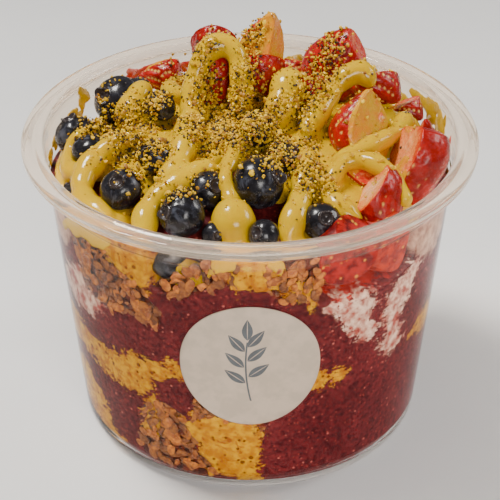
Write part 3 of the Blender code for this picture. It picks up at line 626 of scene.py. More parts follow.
def food_material():
    """Puree with mango, yogurt, granola and crushed strawberry pressed against the wall, and painted
    shade in the hollows behind the fruit.
    """
    material, tree, shader = new_material("layered_food")
    puree = mottle(tree, (0.18, 0.021, 0.022), (0.055, 0.006, 0.008), 1.3, 0.20)
    broad = mottle(tree, (1.0, 1.0, 1.0), (0.55, 0.45, 0.5), 14.0, 0.2)
    colour = shaded(tree, 0.8, puree, broad)
    for size, amount, radius, strength, tint in (
            (1.2, 0.45, 0.28, 0.6, (0.34, 0.05, 0.035)),
            (0.9, 0.45, 0.32, 0.6, (0.018, 0.003, 0.004)),
            (2.2, 0.38, 0.20, 0.7, (0.58, 0.15, 0.11))):
        colour = speckled(tree, colour, tint, size, amount, radius, strength)
    berry = ragged(tree, "berry_field", 5.0, 3.0, 0.5)
    red = mottle(tree, (0.60, 0.020, 0.008), (0.20, 0.004, 0.003), 3.5, 0.2)
    red = speckled(tree, red, (0.78, 0.34, 0.05), 2.0, 0.25, 0.16, 0.9)
    colour = mixed(tree, berry, colour, red)
    yogurt = ragged(tree, "yogurt_field", 11.0, 3.4, 0.7)
    yogurt_tone = mottle(tree, (0.74, 0.52, 0.38), (0.32, 0.05, 0.035), 2.6, 0.17)
    colour = mixed(tree, yogurt, colour, yogurt_tone)
    cavity = ragged(tree, "cavity_field", 4.0, 2.6, 0.8)
    cavity_tone = mottle(tree, (0.60, 0.37, 0.25), (0.26, 0.10, 0.065), 3.2, 0.2)
    colour = mixed(tree, cavity, colour, cavity_tone)
    granola = ragged(tree, "granola_field", 4.0, 2.4, 0.5)
    granola_tone = mottle(tree, (0.13, 0.022, 0.008), (0.020, 0.004, 0.003), 1.3, 0.1)
    colour = mixed(tree, granola, colour, granola_tone)
    mango = ragged(tree, "mango_field", 11.0, 4.2, 0.45)
    mango_tone = mottle(tree, (0.60, 0.31, 0.0), (0.38, 0.13, 0.0), 2.4, 0.14)
    swirl = ramp(tree, grain_noise(tree, 4.0, 6.0, 0.72, 1.8), 0.54, 0.64, 0.0, 0.85)
    mango_colour = mixed(tree, swirl, mango_tone, (0.26, 0.05, 0.006))
    for size, amount, radius in ((1.6, 0.35, 0.32), (3.2, 0.5, 0.26)):
        mango_colour = speckled(tree, mango_colour, (0.10, 0.015, 0.005), size, amount, radius,
                                0.85)
    colour = mixed(tree, mango, colour, mango_colour)
    # Painted shade: the food darkens inside the hollows where fruit lies against the wall
    hollow = value_of(tree, "hollow")
    colour = mixed(tree, sums(tree, "MULTIPLY", hollow, 0.6), colour, (0.10, 0.010, 0.006))
    relief = grain_noise(tree, 1.1, 4.0)
    set_shader(tree, shader, base_color=colour, roughness=ramp(tree, relief, 0.2, 0.8, 0.3, 0.5),
               subsurface_weight=0.08, subsurface_radius=(0.0015, 0.0005, 0.0003), ior=1.38,
               specular_ior_level=0.12)
    bump(tree, shader, relief, 0.3, 0.5)
    return material


def make_layered_food():
    columns, rows = ((600, 140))
    low = FLOOR_Z + 0.05
    angles = np.arange(columns) * 360.0 / columns
    top_line = height_at(SAUCE_LINE, angles)
    shares = np.linspace(0.0, 1.0, rows)
    heights = low + shares[:, None] * (top_line[None, :] - 0.3 - low)
    wide = np.broadcast_to(angles, heights.shape)
    strongest = {name: np.max([patch_field(wide, heights, outline) for outline in outlines], axis=0)
                 for name, outlines in FIELDS.items()}
    radius = inside_radius(heights) + 0.12
    turn = np.radians(wide)
    spots = np.stack([radius * np.sin(turn), -radius * np.cos(turn), heights], axis=-1)
    bumps = fine_noise(spots, 5.0, 3)
    sunk = smooth_step((strongest["granola_field"] + 0.5) / 1.5)
    sunk = sunk * (0.3 + 1.1 * fine_noise(spots, 3.0, 9))
    # Share of each hollow, which the material darkens as painted shade
    hollow = np.zeros_like(heights)
    for outline, depth in HOLLOWS:
        share = smooth_step((patch_field(wide, heights, outline) + 1.0) / 3.0)
        sunk = np.maximum(sunk, depth * share)
        hollow = np.maximum(hollow, share)
    sunk = np.where(heights < 4.5, 0.0, sunk)
    radius = radius - sunk - 0.05 * bumps
    spots[..., 0] = radius * np.sin(turn)
    spots[..., 1] = -radius * np.cos(turn)
    rings = list(spots)
    fields = [np.stack(row) for row in zip(*strongest.values(), hollow)]
    puree_only = np.array([[-6.0]] * 5 + [[0.0]])
    for share in (0.85, 0.6, 0.3):
        ring = rings[rows - 1] * np.array([share, share, 1.0])
        ring[:, 2] = dome_height(ring[:, 0], ring[:, 1]) - 3.0
        rings.append(ring)
        fields.append(np.tile(puree_only, (1, columns)))
    points = np.concatenate([[(0, 0, low)], *rings, [(0, 0, SAUCE_CENTRE - 3.0)]])
    values = np.concatenate([puree_only, *fields, puree_only], axis=1)
    food = solid("layered_food", points, ring_faces(len(rings), columns),
                 food_material())
    for name, row in zip(FIELDS, values):
        add_values(food, name, np.clip(row, -6.0, 6.0))
    add_values(food, "hollow", values[5])
    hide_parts("acai_lower", "acai_upper", "mango_band", "mango_pocket", "mango_streak",
                "yogurt_right", "yogurt_left")
    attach(food, "root")


# Granola

OAT_SPACING = 2.3


def unit_ball(segments, rows):
    """Points and faces of a ball with a radius of one."""
    points = [(0, 0, -1.0)]
    for row in range(1, rows):
        tilt = math.pi * row / rows
        for column in range(segments):
            turn = math.tau * column / segments
            points.append((math.sin(tilt) * math.cos(turn), math.sin(tilt) * math.sin(turn),
                           -math.cos(tilt)))
    points.append((0, 0, 1.0))
    return np.array(points), ring_faces(rows - 1, segments)


def oat_shape(generator, long, wide, thick):
    """One rolled oat or puff: a bent, lumpy disc."""
    seed = generator.randrange(1000)
    bend = generator.uniform(-0.5, 0.8)
    points, faces = unit_ball(12, 7)
    lumps = 0.75 + 0.5 * noise(points * 2.0 + seed, 1.0, seed)
    points = points * lumps[:, None] * np.array([long, wide, thick]) / 2.0
    crease = np.exp(-(points[:, 1] / (0.16 * wide)) ** 2)
    points[:, 2] -= np.sign(points[:, 2]) * 0.35 * thick * crease * 0.5
    points[:, 2] += bend * (points[:, 0] ** 2) / long
    return points, faces


def granola_material():
    material, tree, shader = new_material("granola")
    shade = value_of(tree, "shade")
    # The shade value is each oat's random tone darkened by painted shade deeper behind the wall
    base = mixed(tree, shade, (0.028, 0.005, 0.002), (0.60, 0.19, 0.010))
    fine = mottle(tree, (1.0, 1.0, 0.9), (0.45, 0.28, 0.16), 1.1, 0.12)
    colour = shaded(tree, 0.9, base, fine)
    relief = grain_noise(tree, 0.6, 4.0)
    set_shader(tree, shader, base_color=colour, roughness=0.55,
               subsurface_weight=0.08, subsurface_radius=(0.001, 0.0005, 0.0003))
    bump(tree, shader, relief, 0.25, 0.7)
    return material


def joined(name, parts, shades, material):
    """One mesh from many (points, faces), with a shade from 0 to 1 for each."""
    points, faces, values, start = [], [], [], 0
    for (spots, sides), shade in zip(parts, shades):
        points.append(spots)
        faces += [tuple(start + corner for corner in side) for side in sides]
        values += list(np.broadcast_to(shade, len(spots)))
        start += len(spots)
    made = solid(name, np.concatenate(points), faces, material)
    add_values(made, "shade", values)
    return made


def wall_oats(generator, outline):
    """Oats pressed against the wall over one patch, with painted shade on their parts deeper behind
    the wall.
    """
    parts, shades = [], []
    angle_low, angle_high = min(a for a, h in outline), max(a for a, h in outline)
    height_low, height_high = min(h for a, h in outline), max(h for a, h in outline)
    scale = math.degrees(1.0 / inside_radius(40.0))
    height = height_low
    while height <= height_high:
        angle = angle_low + generator.uniform(0, OAT_SPACING) * scale
        while angle <= angle_high:
            spot = (angle + generator.uniform(-0.8, 0.8) * scale,
                    height + generator.uniform(-0.9, 0.9))
            inside = patch_field(np.array([spot[0]]), np.array([spot[1]]), outline)[0]
            limit = float(height_at(SAUCE_LINE, spot[0])) - 1.0
            if inside > -0.3 and 5.0 < spot[1] < limit:
                long = generator.uniform(1.8, 4.4)
                wide = long * generator.uniform(0.5, 0.9)
                thick = generator.uniform(0.7, 1.5)
                points, faces = oat_shape(generator, long, wide, thick)
                flat = Matrix.Rotation(math.radians(90 + generator.uniform(-40, 40)), 3, "X")
                spin = Matrix.Rotation(generator.uniform(0, math.tau), 3, "Y")
                lean = Matrix.Rotation(math.radians(generator.uniform(-25, 25)), 3, "Z")
                face_out = Matrix.Rotation(math.radians(spot[0]), 3, "Z")
                turned = points @ np.array(face_out @ lean @ spin @ flat).T
                depth = generator.uniform(-0.1, 1.1)
                seat = on_wall(spot[0], inside_radius(spot[1]) - depth, spot[1])
                turned = turned + np.array(seat)
                across = np.hypot(turned[:, 0], turned[:, 1])
                most = inside_radius(turned[:, 2]) + 0.14
                turned[:, :2] *= np.minimum(1.0, most / across)[:, None]
                parts.append((turned, faces))
                # Painted shade: each oat darkens where it lies deeper behind the wall; light is its
                # own random tone
                shade_depth = inside_radius(turned[:, 2]) - np.hypot(turned[:, 0], turned[:, 1])
                light = 0.25 + 0.75 * generator.random()
                shades.append(light * (1.0 - 0.9 * smooth_step((shade_depth - 0.1) / 1.0)))
            angle += OAT_SPACING * scale * generator.uniform(0.8, 1.3)
        height += OAT_SPACING * 0.8
    return parts, shades


def make_granola():
    generator = random.Random(21)
    material = granola_material()
    low, high = ([], []), ([], [])
    for outline in GRANOLA_PATCHES:
        heap = low if max(height for angle, height in outline) < TUB_HEIGHT / 2 else high
        parts, shades = wall_oats(generator, outline)
        heap[0].extend(parts)
        heap[1].extend(shades)
    pocket = joined("granola_low", *low, material)
    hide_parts("granola_pocket")
    bed = joined("granola_high", *high, material)
    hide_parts("granola_bed")
    for piece in (pocket, bed):
        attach(piece, "root")


# Fruit: blueberries as centre, radius, way of the crown

BLUEBERRIES = [
    ((-34.4, 16.1, 81.9), 6.7, (-0.7, -0.5, 0.5)),
    ((-45.4, 6.7, 76.9), 5.4, (-0.3, 0.2, 0.9)),
    ((-40.5, -6, 78.4), 5.1, (0.5, 0.6, 0.6)),
    ((-31.7, -26, 79.5), 5.4, (-0.2, -0.5, 0.8)),
    ((-23.3, -19, 84.6), 4.6, (0.6, 0.6, 0.5)),
    ((-16.3, -39.8, 80.8), 5.8, (-0.8, -0.5, 0.4)),
    ((-10, -29.7, 81.3), 5.2, (0.4, -0.6, 0.7)),
    ((2.2, -31, 84.4), 6.5, (0.8, -0.3, 0.5)),
    ((2, -13, 89), 4.5, (-0.2, 0.7, 0.7)),
    ((17.4, -39.2, 78.2), 4.8, (0.2, -0.7, 0.7)),
    ((3.3, -46.6, 79), 3.9, (-0.5, -0.6, 0.6)),
    ((-8.6, -43.8, 77.4), 3.1, (0.3, -0.8, 0.4)),
    ((-19.2, -40.8, 69.2), 5.4, (-0.2, 0.9, 0.3)),
    ((-43.8, -17.4, 72.6), 3.9, (-0.6, 0.5, 0.6)),
    ((-30, 26.5, 79), 4.2, (0.3, 0.8, 0.5)),
    ((-22.8, 4, 86.8), 4, (0.5, 0.5, 0.7)),
    ((8.6, -20.3, 85), 4.2, (0.6, 0.6, 0.5)),
]


def standing(direction, sideways):
    """Rotation whose Z follows the direction and whose X leans to the sideways vector."""
    up = Vector(direction).normalized()
    side = Vector(sideways)
    side = (side - up * side.dot(up)).normalized()
    return Matrix((side, up.cross(side), up)).transposed()


def blueberry_material():
    material, tree, shader = new_material("blueberry")
    skin = mottle(tree, (0.016, 0.015, 0.020), (0.006, 0.005, 0.006), 2.6, 0.2)
    bloom_spread = grain_noise(tree, 4.2, 5.0, 0.65, 0.6)
    bloom = sums(tree, "MULTIPLY", ramp(tree, bloom_spread, 0.50, 0.74), value_of(tree, "bloom"))
    colour = mixed(tree, bloom, skin, (0.080, 0.088, 0.120))
    colour = speckled(tree, colour, (0.25, 0.22, 0.19), 0.9, 0.05, 0.22, 0.5)
    colour = mixed(tree, value_of(tree, "crown"), colour, (0.035, 0.026, 0.026))
    relief = grain_noise(tree, 0.9, 4.0)
    set_shader(tree, shader, base_color=colour, roughness=ramp(tree, bloom, 0.0, 1.0, 0.24, 0.52),
               coat_weight=0.1, coat_roughness=0.12, ior=1.4)
    bump(tree, shader, relief, 0.12, 0.35)
    return material


def blueberry_points(radius, seed):
    """Body with a crown of five lobes round a sunken middle, and a few soft dents."""
    segments = 48
    profile = [(0.0, -0.93)]
    for index in range(1, 25):
        tilt = math.pi * index / 27.0
        profile.append((math.sin(tilt), -math.cos(tilt) * 0.93))
    profile += [(0.40, 0.865), (0.385, 0.93), (0.37, 0.985), (0.335, 1.0), (0.30, 0.965),
                (0.27, 0.86), (0.20, 0.79), (0.10, 0.775), (0.0, 0.77)]
    points = [(0, 0, profile[0][1])]
    values = [(0.0, 1.0)]
    for out, up in profile[1:-1]:
        for column in range(segments):
            turn = math.tau * column / segments
            lobe = max(0.0, math.cos(2.5 * turn + seed)) ** 0.6
            raised = up > 0.92
            tall = up + (0.10 * (lobe - 0.65) if raised else 0.0)
            wide = out * (1.0 + (0.14 * (lobe - 0.4) if raised else 0.0))
            points.append((wide * math.cos(turn), wide * math.sin(turn), tall))
            crown = 1.0 if out < 0.42 and up > 0.5 else 0.0
            values.append((crown, 1.0 - crown))
    points.append((0, 0, profile[-1][1]))
    values.append((1.0, 0.0))
    points = np.array(points)
    soft = 1.0 + 0.055 * (noise(points * 1.3 + seed, 1.0, seed) - 0.5)
    dents = fine_noise(points * 3.0 + seed, 1.0, seed + 5)
    soft = soft - 0.05 * smooth_step((dents - 0.56) / 0.16)
    faces = ring_faces(len(profile) - 2, segments)
    return points * soft[:, None] * radius, faces, np.array(values)


def make_blueberries(material):
    berries = []
    for index, (centre, radius, crown) in enumerate(BLUEBERRIES):
        points, faces, values = blueberry_points(radius, index * 7 + 3)
        turn = np.array(standing(crown, (0.3, 0.2, 1.0)))
        node = f"blueberry_{index + 1:02d}"
        berry = solid(node + "_fine", points @ turn.T + np.array(centre), faces, material)
        add_values(berry, "crown", values[:, 0])
        add_values(berry, "bloom", values[:, 1])
        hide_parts(node)
        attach(berry, "root")
        berries.append(berry)
    return berries


# Strawberry pieces: centre, length, radius, tip direction, cut faces (normal, place of the
# plane over the radius), share of sauce on the cut faces and paleness of the flesh
STRAWBERRIES = [
    ((-10.6, 25, 90.6), 14, 6.4, (-0.35, -0.4, -0.85), [((0.1, 0.9, 0.3), 0.1)], 0.1, 0.5),
    ((2.8, 24, 94.8), 19, 8.4, (0.2, 0.15, 1),
     [((-0.5, -0.8, 0.35), 0.1), ((0.9, -0.45, 0), 0.15)], 0.75, 1),
    ((3.4, 10.6, 91), 14, 6.4, (0.35, -0.5, -0.7), [((0, 0.8, 0.6), 0.25)], 0.3, 0.4),
    ((-9.6, 9, 90.6), 15, 5.2, (0, -0.5, -0.85), [((0, 0.85, -0.5), 0.2)], 0.2, 0.4),
    ((22.6, 27, 88.2), 20, 9, (0.35, -0.15, 0.9), [((0.86, -0.22, 0.46), 0.7)], 0.1, 1.6),
    ((34.4, 13.4, 85.8), 14, 6.4, (0.65, -0.5, -0.4), [((-0.2, 0.65, 0.7), 0.3)], 0.2, 0.3),
    ((26.4, -2.8, 85.6), 17, 9, (0.15, 0.35, 0.9), [((0.7, -0.55, 0.35), 0.1)], 0.72, 0.9),
    ((42.4, 17, 78), 11, 4.8, (0.5, -0.5, -0.3), [((-0.4, 0.3, 0.85), 0.2)], 0.2, 0.3),
    ((42.4, -15.6, 76.6), 24, 9.8, (-0.25, -0.5, -0.8), [((-0.9, -0.05, 0.43), 0.25)], 0.45, 1),
    ((46.4, 3.4, 77.6), 13, 4.6, (0.1, -0.3, 0.9), [((-0.95, 0.1, 0.2), 0.2)], 0.1, 0.3),
    ((32.8, -31, 77), 18, 7.2, (0.2, -0.65, -0.6), [((-0.77, 0.1, 0.62), 0.5)], 0.3, 1.3),
    ((27.6, -19.6, 79.2), 9, 3.8, (-0.8, 0.1, 0.1), [((0.1, -0.45, 0.85), 0.2)], 0.5, 0.4),
    ((20.3, -39.9, 70), 17, 7.4, (-0.5, 0.2, -0.8), [((0.45, -0.89, -0.11), 0.45)], 0, 0),
    ((30.8, -32.5, 69), 16, 7.2, (0.35, 0.2, -0.9), [((0.69, -0.73, -0.11), 0.45)], 0, 0.9),
    ((15.6, 4, 89.4), 12, 5, (0.3, -0.6, -0.7), [((-0.2, 0.8, 0.4), 0.3)], 0.4, 0.3),
    ((12.7, 36, 79.6), 10, 4.2, (0.9, 0.1, 0.1), [((0.2, 0.7, 0.6), 0.2)], 0.6, 0.3),
    ((-24.3, 36, 77.8), 12, 5, (-0.9, 0.1, -0.1), [((-0.3, 0.8, 0.5), 0.2)], 0.7, 0.3),
]
# Pieces that the wall presses flat swell by this share
PRESSED = {13: 1.12, 14: 1.12}
STRAWBERRY_PROFILE = [(0.0, 0.0), (0.60, 0.0), (0.80, 0.035), (0.92, 0.12), (0.985, 0.22),
                      (1.0, 0.32), (0.96, 0.43), (0.86, 0.55), (0.72, 0.67), (0.55, 0.78),
                      (0.40, 0.87), (0.25, 0.94), (0.12, 0.985), (0.0, 1.0)]


def strawberry_material():
    material, tree, shader = new_material("strawberry")
    skin = mottle(tree, (0.46, 0.008, 0.003), (0.20, 0.002, 0.002), 4.0, 0.22)
    colour = skin
    flesh = value_of(tree, "flesh")
    deep = value_of(tree, "deep")
    streaks = grain_noise(tree, 1.6, 4.0, 0.6, 0.8)
    uneven = sums(tree, "MULTIPLY", sums(tree, "SUBTRACT", streaks, 0.5), 1.5)
    depth = sums(tree, "ADD", deep, uneven)
    pale = mixed(tree, ramp(tree, depth, 0.05, 0.6), (0.58, 0.020, 0.006), (0.80, 0.24, 0.07))
    pale = mixed(tree, ramp(tree, depth, 0.6, 1.2), pale, (0.86, 0.46, 0.22))
    colour = mixed(tree, flesh, colour, pale)
    coat = ragged(tree, "coat_field", 4.0, 4.0, 0.9)
    coat_tone = mottle(tree, (0.60, 0.36, 0.0), (0.66, 0.22, 0.01), 4.5, 0.16)
    colour = mixed(tree, sums(tree, "MULTIPLY", coat, 0.9), colour, coat_tone)
    seeds = value_of(tree, "seed")
    colour = mixed(tree, seeds, colour, (0.72, 0.42, 0.10))
    relief = grain_noise(tree, 0.8, 4.0)
    set_shader(tree, shader, base_color=colour, roughness=ramp(tree, relief, 0.2, 0.8, 0.16, 0.34),
               subsurface_weight=0.1, subsurface_radius=(0.003, 0.0006, 0.0004),
               coat_weight=0.2, coat_roughness=0.06, ior=1.33)
    bump(tree, shader, relief, 0.3, 0.7)
    return material


def pressed_strawberry_material():
    """Crushed skin against the wall, from dark red to orange red."""
    material, tree, shader = new_material("pressed_strawberry")
    dark = mottle(tree, (0.36, 0.012, 0.007), (0.10, 0.002, 0.003), 2.2, 0.14)
    light = mottle(tree, (0.46, 0.032, 0.004), (0.22, 0.005, 0.003), 2.2, 0.14)
    colour = mixed(tree, value_of(tree, "deep"), dark, light)
    colour = speckled(tree, colour, (0.62, 0.26, 0.02), 2.4, 0.8, 0.26, 0.9)
    relief = grain_noise(tree, 1.0, 4.0)
    set_shader(tree, shader, base_color=colour, roughness=0.4, specular_ior_level=0.15,
               subsurface_weight=0.1, subsurface_radius=(0.003, 0.0006, 0.0004))
    bump(tree, shader, relief, 0.3, 0.6)
    return material


def strawberry_points(length, radius, turn, cuts, coat, seed):
    """Piece of a strawberry: the whole fruit with what lies past each cut pressed flat."""
    segments = max(96, int(17 * radius))
    outs = [out for out, up in STRAWBERRY_PROFILE]
    ups = [up for out, up in STRAWBERRY_PROFILE]
    steps = np.linspace(0.0, len(ups) - 1.0, 78)
    out_line = np.interp(steps, range(len(outs)), outs)[1:-1]
    up_line = np.interp(steps, range(len(ups)), ups)[1:-1]
    turns = np.arange(segments) * math.tau / segments
    swell = 1.0 + 0.05 * np.cos(2 * turns + seed) + 0.03 * np.cos(3 * turns + 2 * seed)
    rings = [np.stack([out * swell * np.cos(turns), out * swell * np.sin(turns),
                       np.full(segments, (up - 0.5) * length / radius)], axis=1)
             for out, up in zip(out_line, up_line)]
    ends = 0.5 * length / radius
    points = np.concatenate([[(0, 0, -ends)], *rings, [(0, 0, ends)]])
    points *= 1.0 + 0.06 * (noise(points * 1.2 + seed, 1.0, seed)[:, None] - 0.5)
    seeds = np.zeros(len(points))
    rows = 9
    for row in range(rows):
        up = 0.10 + 0.82 * (row + 0.5) / rows
        out = np.interp(up, ups[1:], outs[1:])
        count = max(3, int(round(11 * out)))
        for step in range(count):
            around = math.tau * (step + 0.5 * (row % 2)) / count
            around += 0.1 * math.sin(7 * step + row)
            spot = np.array([out * math.cos(around), out * math.sin(around),
                             (up - 0.5) * length / radius])
            away = points - spot
            away[:, 2] *= 0.72
            apart = np.linalg.norm(away, axis=1) * radius
            dip = np.exp(-(apart / 0.75) ** 2)
            grain = np.clip(1.0 - apart / 0.44, 0.0, 1.0)
            points = points * (1.0 - 0.42 / radius * dip + 0.36 / radius * grain)[:, None]
            seeds = np.maximum(seeds, smooth_step(grain * 2.4))
    points = (points * radius) @ turn.T
    flesh = np.zeros(len(points))
    deep = np.zeros(len(points))
    coats = np.full(len(points), -5.0 + 3.0 * coat)
    for normal, place_at in cuts:
        flat = np.array(Vector(normal).normalized())
        past = points @ flat - place_at * radius
        past = past + 0.5 * (fine_noise(points + seed, 5.0, seed + 2) - 0.5)
        pressed = past > 0.0
        points = points - np.where(pressed, past, 0.0)[:, None] * flat
        flesh = np.where(pressed, 1.0, flesh)
        deep = np.where(pressed, np.maximum(deep, past / radius), deep)
        spread = fine_noise(points + 3.0 * seed, 5.5, seed + 9)
        amount = smooth_step((spread - 1.0 + coat) / 0.16) * pressed
        coats = np.where(pressed, -4.0 + 8.0 * amount, coats)
        lift = 0.8 * amount * smooth_step(past / (0.25 * radius))
        points = points + lift[:, None] * flat
    middle = sum((np.array(Vector(normal).normalized()) * (place_at - 1.0) * radius / 2
                  for normal, place_at in cuts), np.zeros(3))
    seeds = np.where(flesh > 0.5, 0.0, seeds)
    faces = ring_faces(len(out_line), segments)
    return points - middle, faces, flesh, deep, seeds, coats


def make_strawberries(material):
    pieces = []
    pressed_material = pressed_strawberry_material()
    for index, (centre, length, radius, tip, cuts, coat, pale) in enumerate(STRAWBERRIES):
        turn = np.array(standing(tip, cuts[0][0]))
        points, faces, flesh, deep, seeds, coats = strawberry_points(length, radius, turn, cuts,
                                                                     coat, index * 5 + 1)
        points = points * PRESSED.get(index + 1, 1.0) + np.array(centre)
        pressed = index + 1 in PRESSED
        deep = np.full(len(deep), pale) if pressed else deep * pale
        low_enough = points[:, 2] < INSIDE[4][1]
        across = np.hypot(points[:, 0], points[:, 1])
        most = inside_radius(points[:, 2]) + 0.1
        squeeze = np.where(low_enough, np.minimum(1.0, most / across), 1.0)
        points[:, :2] *= squeeze[:, None]
        node = f"strawberry_{index + 1:02d}"
        piece = solid(node + "_fine", points, faces, pressed_material if pressed else material)
        for name, values in (("flesh", flesh), ("deep", deep), ("seed", seeds),
                             ("coat_field", coats)):
            add_values(piece, name, values)
        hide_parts(node)
        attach(piece, "root")
        pieces.append(piece)
    return pieces


# Mango sauce: radius, then the points that each rope runs through

SAUCE_ROPES = [
    (3, [(-15, 0, 85.5), (-14.6, 5, 90.4), (-13.6, 8, 94.6), (-10.8, 11, 99), (-6.7, 12, 100.5),
           (-3.6, 10, 98.5), (-2.3, 7, 94.5), (-2.3, 3, 89), (-2.5, 0, 86)]),
    (4.6, [(10, 6, 92.5), (8.8, 2.5, 90.5), (7, -2, 87)]),
    (3.9, [(-28, 14, 86), (-29.8, 9.5, 84.8), (-31.5, 5, 82)]),
    (2.9, [(30.4, 8, 92.4), (28.6, 9.6, 93.8), (25.4, 9, 93.2), (22.1, 7, 90.8), (18.4, 1, 88),
           (14.4, -6, 85.5)]),
    (3.2, [(-29, -7, 83.5), (-35.5, -8.5, 81.5), (-40.5, -13.5, 78.5), (-42, -20, 76.5),
           (-40, -26.5, 75.5), (-35, -33, 75.5)]),
    (3.5, [(-15, -2, 87), (-15.8, -12, 86.5), (-17.5, -20, 84.5), (-20.4, -27, 81.5)]),
    (2.2, [(-2.8, -16, 86.5), (-4.9, -23, 85.5), (-6, -30, 84.5), (-4.8, -33.5, 82),
           (-3.4, -38, 80)]),
    (5.6, [(-4.2, -40, 80), (-3.6, -42.5, 77.5)]),
    (3.6, [(-10.8, -24, 84.5), (-16, -27.5, 82.5), (-21.5, -31, 80.5), (-25, -35, 78.5),
           (-25.4, -40, 76.5)]),
    (3.2, [(14.3, -20, 85), (13, -29, 82.5), (11.2, -37, 80), (9.2, -43, 77)]),
    (2.5, [(20.2, -24, 81.5), (23.5, -19.5, 83.5), (29.7, -20, 84), (35, -25, 82.5),
           (37.8, -30.5, 79.5)]),
    (3, [(18.6, -27.4, 81.5), (20.8, -33, 79.5), (25, -36.5, 77.5)]),
    (2.7, [(40, 5, 82.5), (38.5, 0, 82), (34, -7.5, 83.5), (28, -12.5, 83),
           (22, -17.5, 83)]),
    (4.4, [(32.5, 7.5, 79.5), (37, 8, 79), (41.5, 9, 77)]),
    (3.6, [(-42.5, 12.5, 74.5), (-38, 11, 75.5)]),
    (3, [(10, 13, 87), (13, 22, 84), (15, 30, 80), (21, 37, 76)]),
    (2.8, [(-5, 29, 82.5), (-1, 35, 79.8), (-2, 40, 76.5)]),
    (2.6, [(-17, 12, 85.5), (-21, 20, 83), (-18, 28, 81), (-13, 33, 79)]),
    (3.4, [(37, 22, 76), (32, 27, 76.5), (24, 32, 77)]),
    (2.4, [(-43.8, 1.2, 79.5), (-46, -1.5, 76.5), (-46.2, -8.5, 76), (-43, -14, 76.5)]),
]


def sauce_material():
    material, tree, shader = new_material("mango_sauce")
    tone = mottle(tree, (0.60, 0.385, 0.0), (0.54, 0.31, 0.0), 9.0, 0.3)
    colour = speckled(tree, tone, (0.10, 0.04, 0.006), 2.4, 0.10, 0.16, 0.8)
    relief = grain_noise(tree, 1.6, 3.0)
    set_shader(tree, shader, base_color=colour, roughness=ramp(tree, relief, 0.2, 0.8, 0.12, 0.22),
               subsurface_weight=0.2, subsurface_radius=(0.003, 0.0015, 0.0002),
               coat_weight=0.12, coat_roughness=0.04, ior=1.36)
    bump(tree, shader, relief, 0.10, 0.25)
    return material


def ball(centre, radius):
    points, faces = unit_ball(14, 9)
    return points * radius + np.array(centre), faces


# Deep gaps in the sauce, given like berries: centre, radius
DEEP_GAPS = [((5.5, -39.5, 75.0), 3.6, None), ((-1.0, -22.5, 77.0), 1.6, None),
             ((12.0, -33.5, 76.0), 1.8, None)]


def blanket():
    """Pool of sauce between the fruit: it sinks beside each berry and under the drips."""
    columns, rows = 240, 90
    turns = np.arange(columns) * math.tau / columns
    angles = np.degrees(turns)
    gap = height_at(SAUCE_GAP, angles)
    points = []
    for share in np.linspace(1.0, 1.0 / rows, rows):
        radius = (inside_radius(74.0) + 0.05 - gap) * share
        ring = np.stack([radius * np.sin(turns), -radius * np.cos(turns), 0.0 * turns], axis=1)
        level = dome_height(ring[:, 0], ring[:, 1])
        lumps = fine_noise(ring, 9.0, 4)
        level = level + 3.0 * (lumps - 0.5) * min(1.0, (1.0 - share) * 8.0)
        for (x, y, z), size, crown in BLUEBERRIES + DEEP_GAPS:
            away = np.hypot(ring[:, 0] - x, ring[:, 1] - y)
            moat = z - 0.62 * size + 1.1 * np.maximum(away - size, 0.0)
            level = np.minimum(level, np.maximum(moat, level - 6.0))
        ring[:, 2] = level
        points.append(ring)
    base = points[0].copy()
    base[:, 2] -= 2.0 + 5.0 * smooth_step((fine_noise(base, 8.0, 11) - 0.3) / 0.4)
    spots = np.concatenate([[(0, 0, 70.0)], base, *points, [(0, 0, SAUCE_CENTRE)]])
    return spots, ring_faces(rows + 1, columns)


# Size of the sauce's mesh and the rounds that smooth it
SAUCE_MESH, SAUCE_ROUNDS = ((0.62, 9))


def make_sauce():
    parts = [blanket()]
    for index, (radius, points) in enumerate(SAUCE_ROPES):
        line = rounded(points, 0.9)
        for step, centre in enumerate(line):
            edge = min(step, len(line) - 1 - step) / 3.0
            size = radius * (0.82 + 0.18 * min(1.0, edge))
            size *= 1.0 + 0.11 * math.sin(0.35 * step + 2.1 * index) + 0.06 * math.sin(0.9 * step)
            parts.append(ball(centre, size))
    sauce = joined("mango_sauce_fine", parts, [0.0] * len(parts), sauce_material())
    modifier = sauce.modifiers.new("blend", "REMESH")
    modifier.mode = "VOXEL"
    modifier.voxel_size = SAUCE_MESH * MM
    modifier.use_smooth_shade = True
    smooth = sauce.modifiers.new("flow", "SMOOTH")
    smooth.factor = 0.6
    smooth.iterations = SAUCE_ROUNDS
    depsgraph = bpy.context.evaluated_depsgraph_get()
    mesh = bpy.data.meshes.new_from_object(sauce.evaluated_get(depsgraph))
    sauce.modifiers.clear()
    sauce.data = mesh
    mesh.shade_smooth()
    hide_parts("mango_sauce")
    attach(sauce, "root")
    return sauce


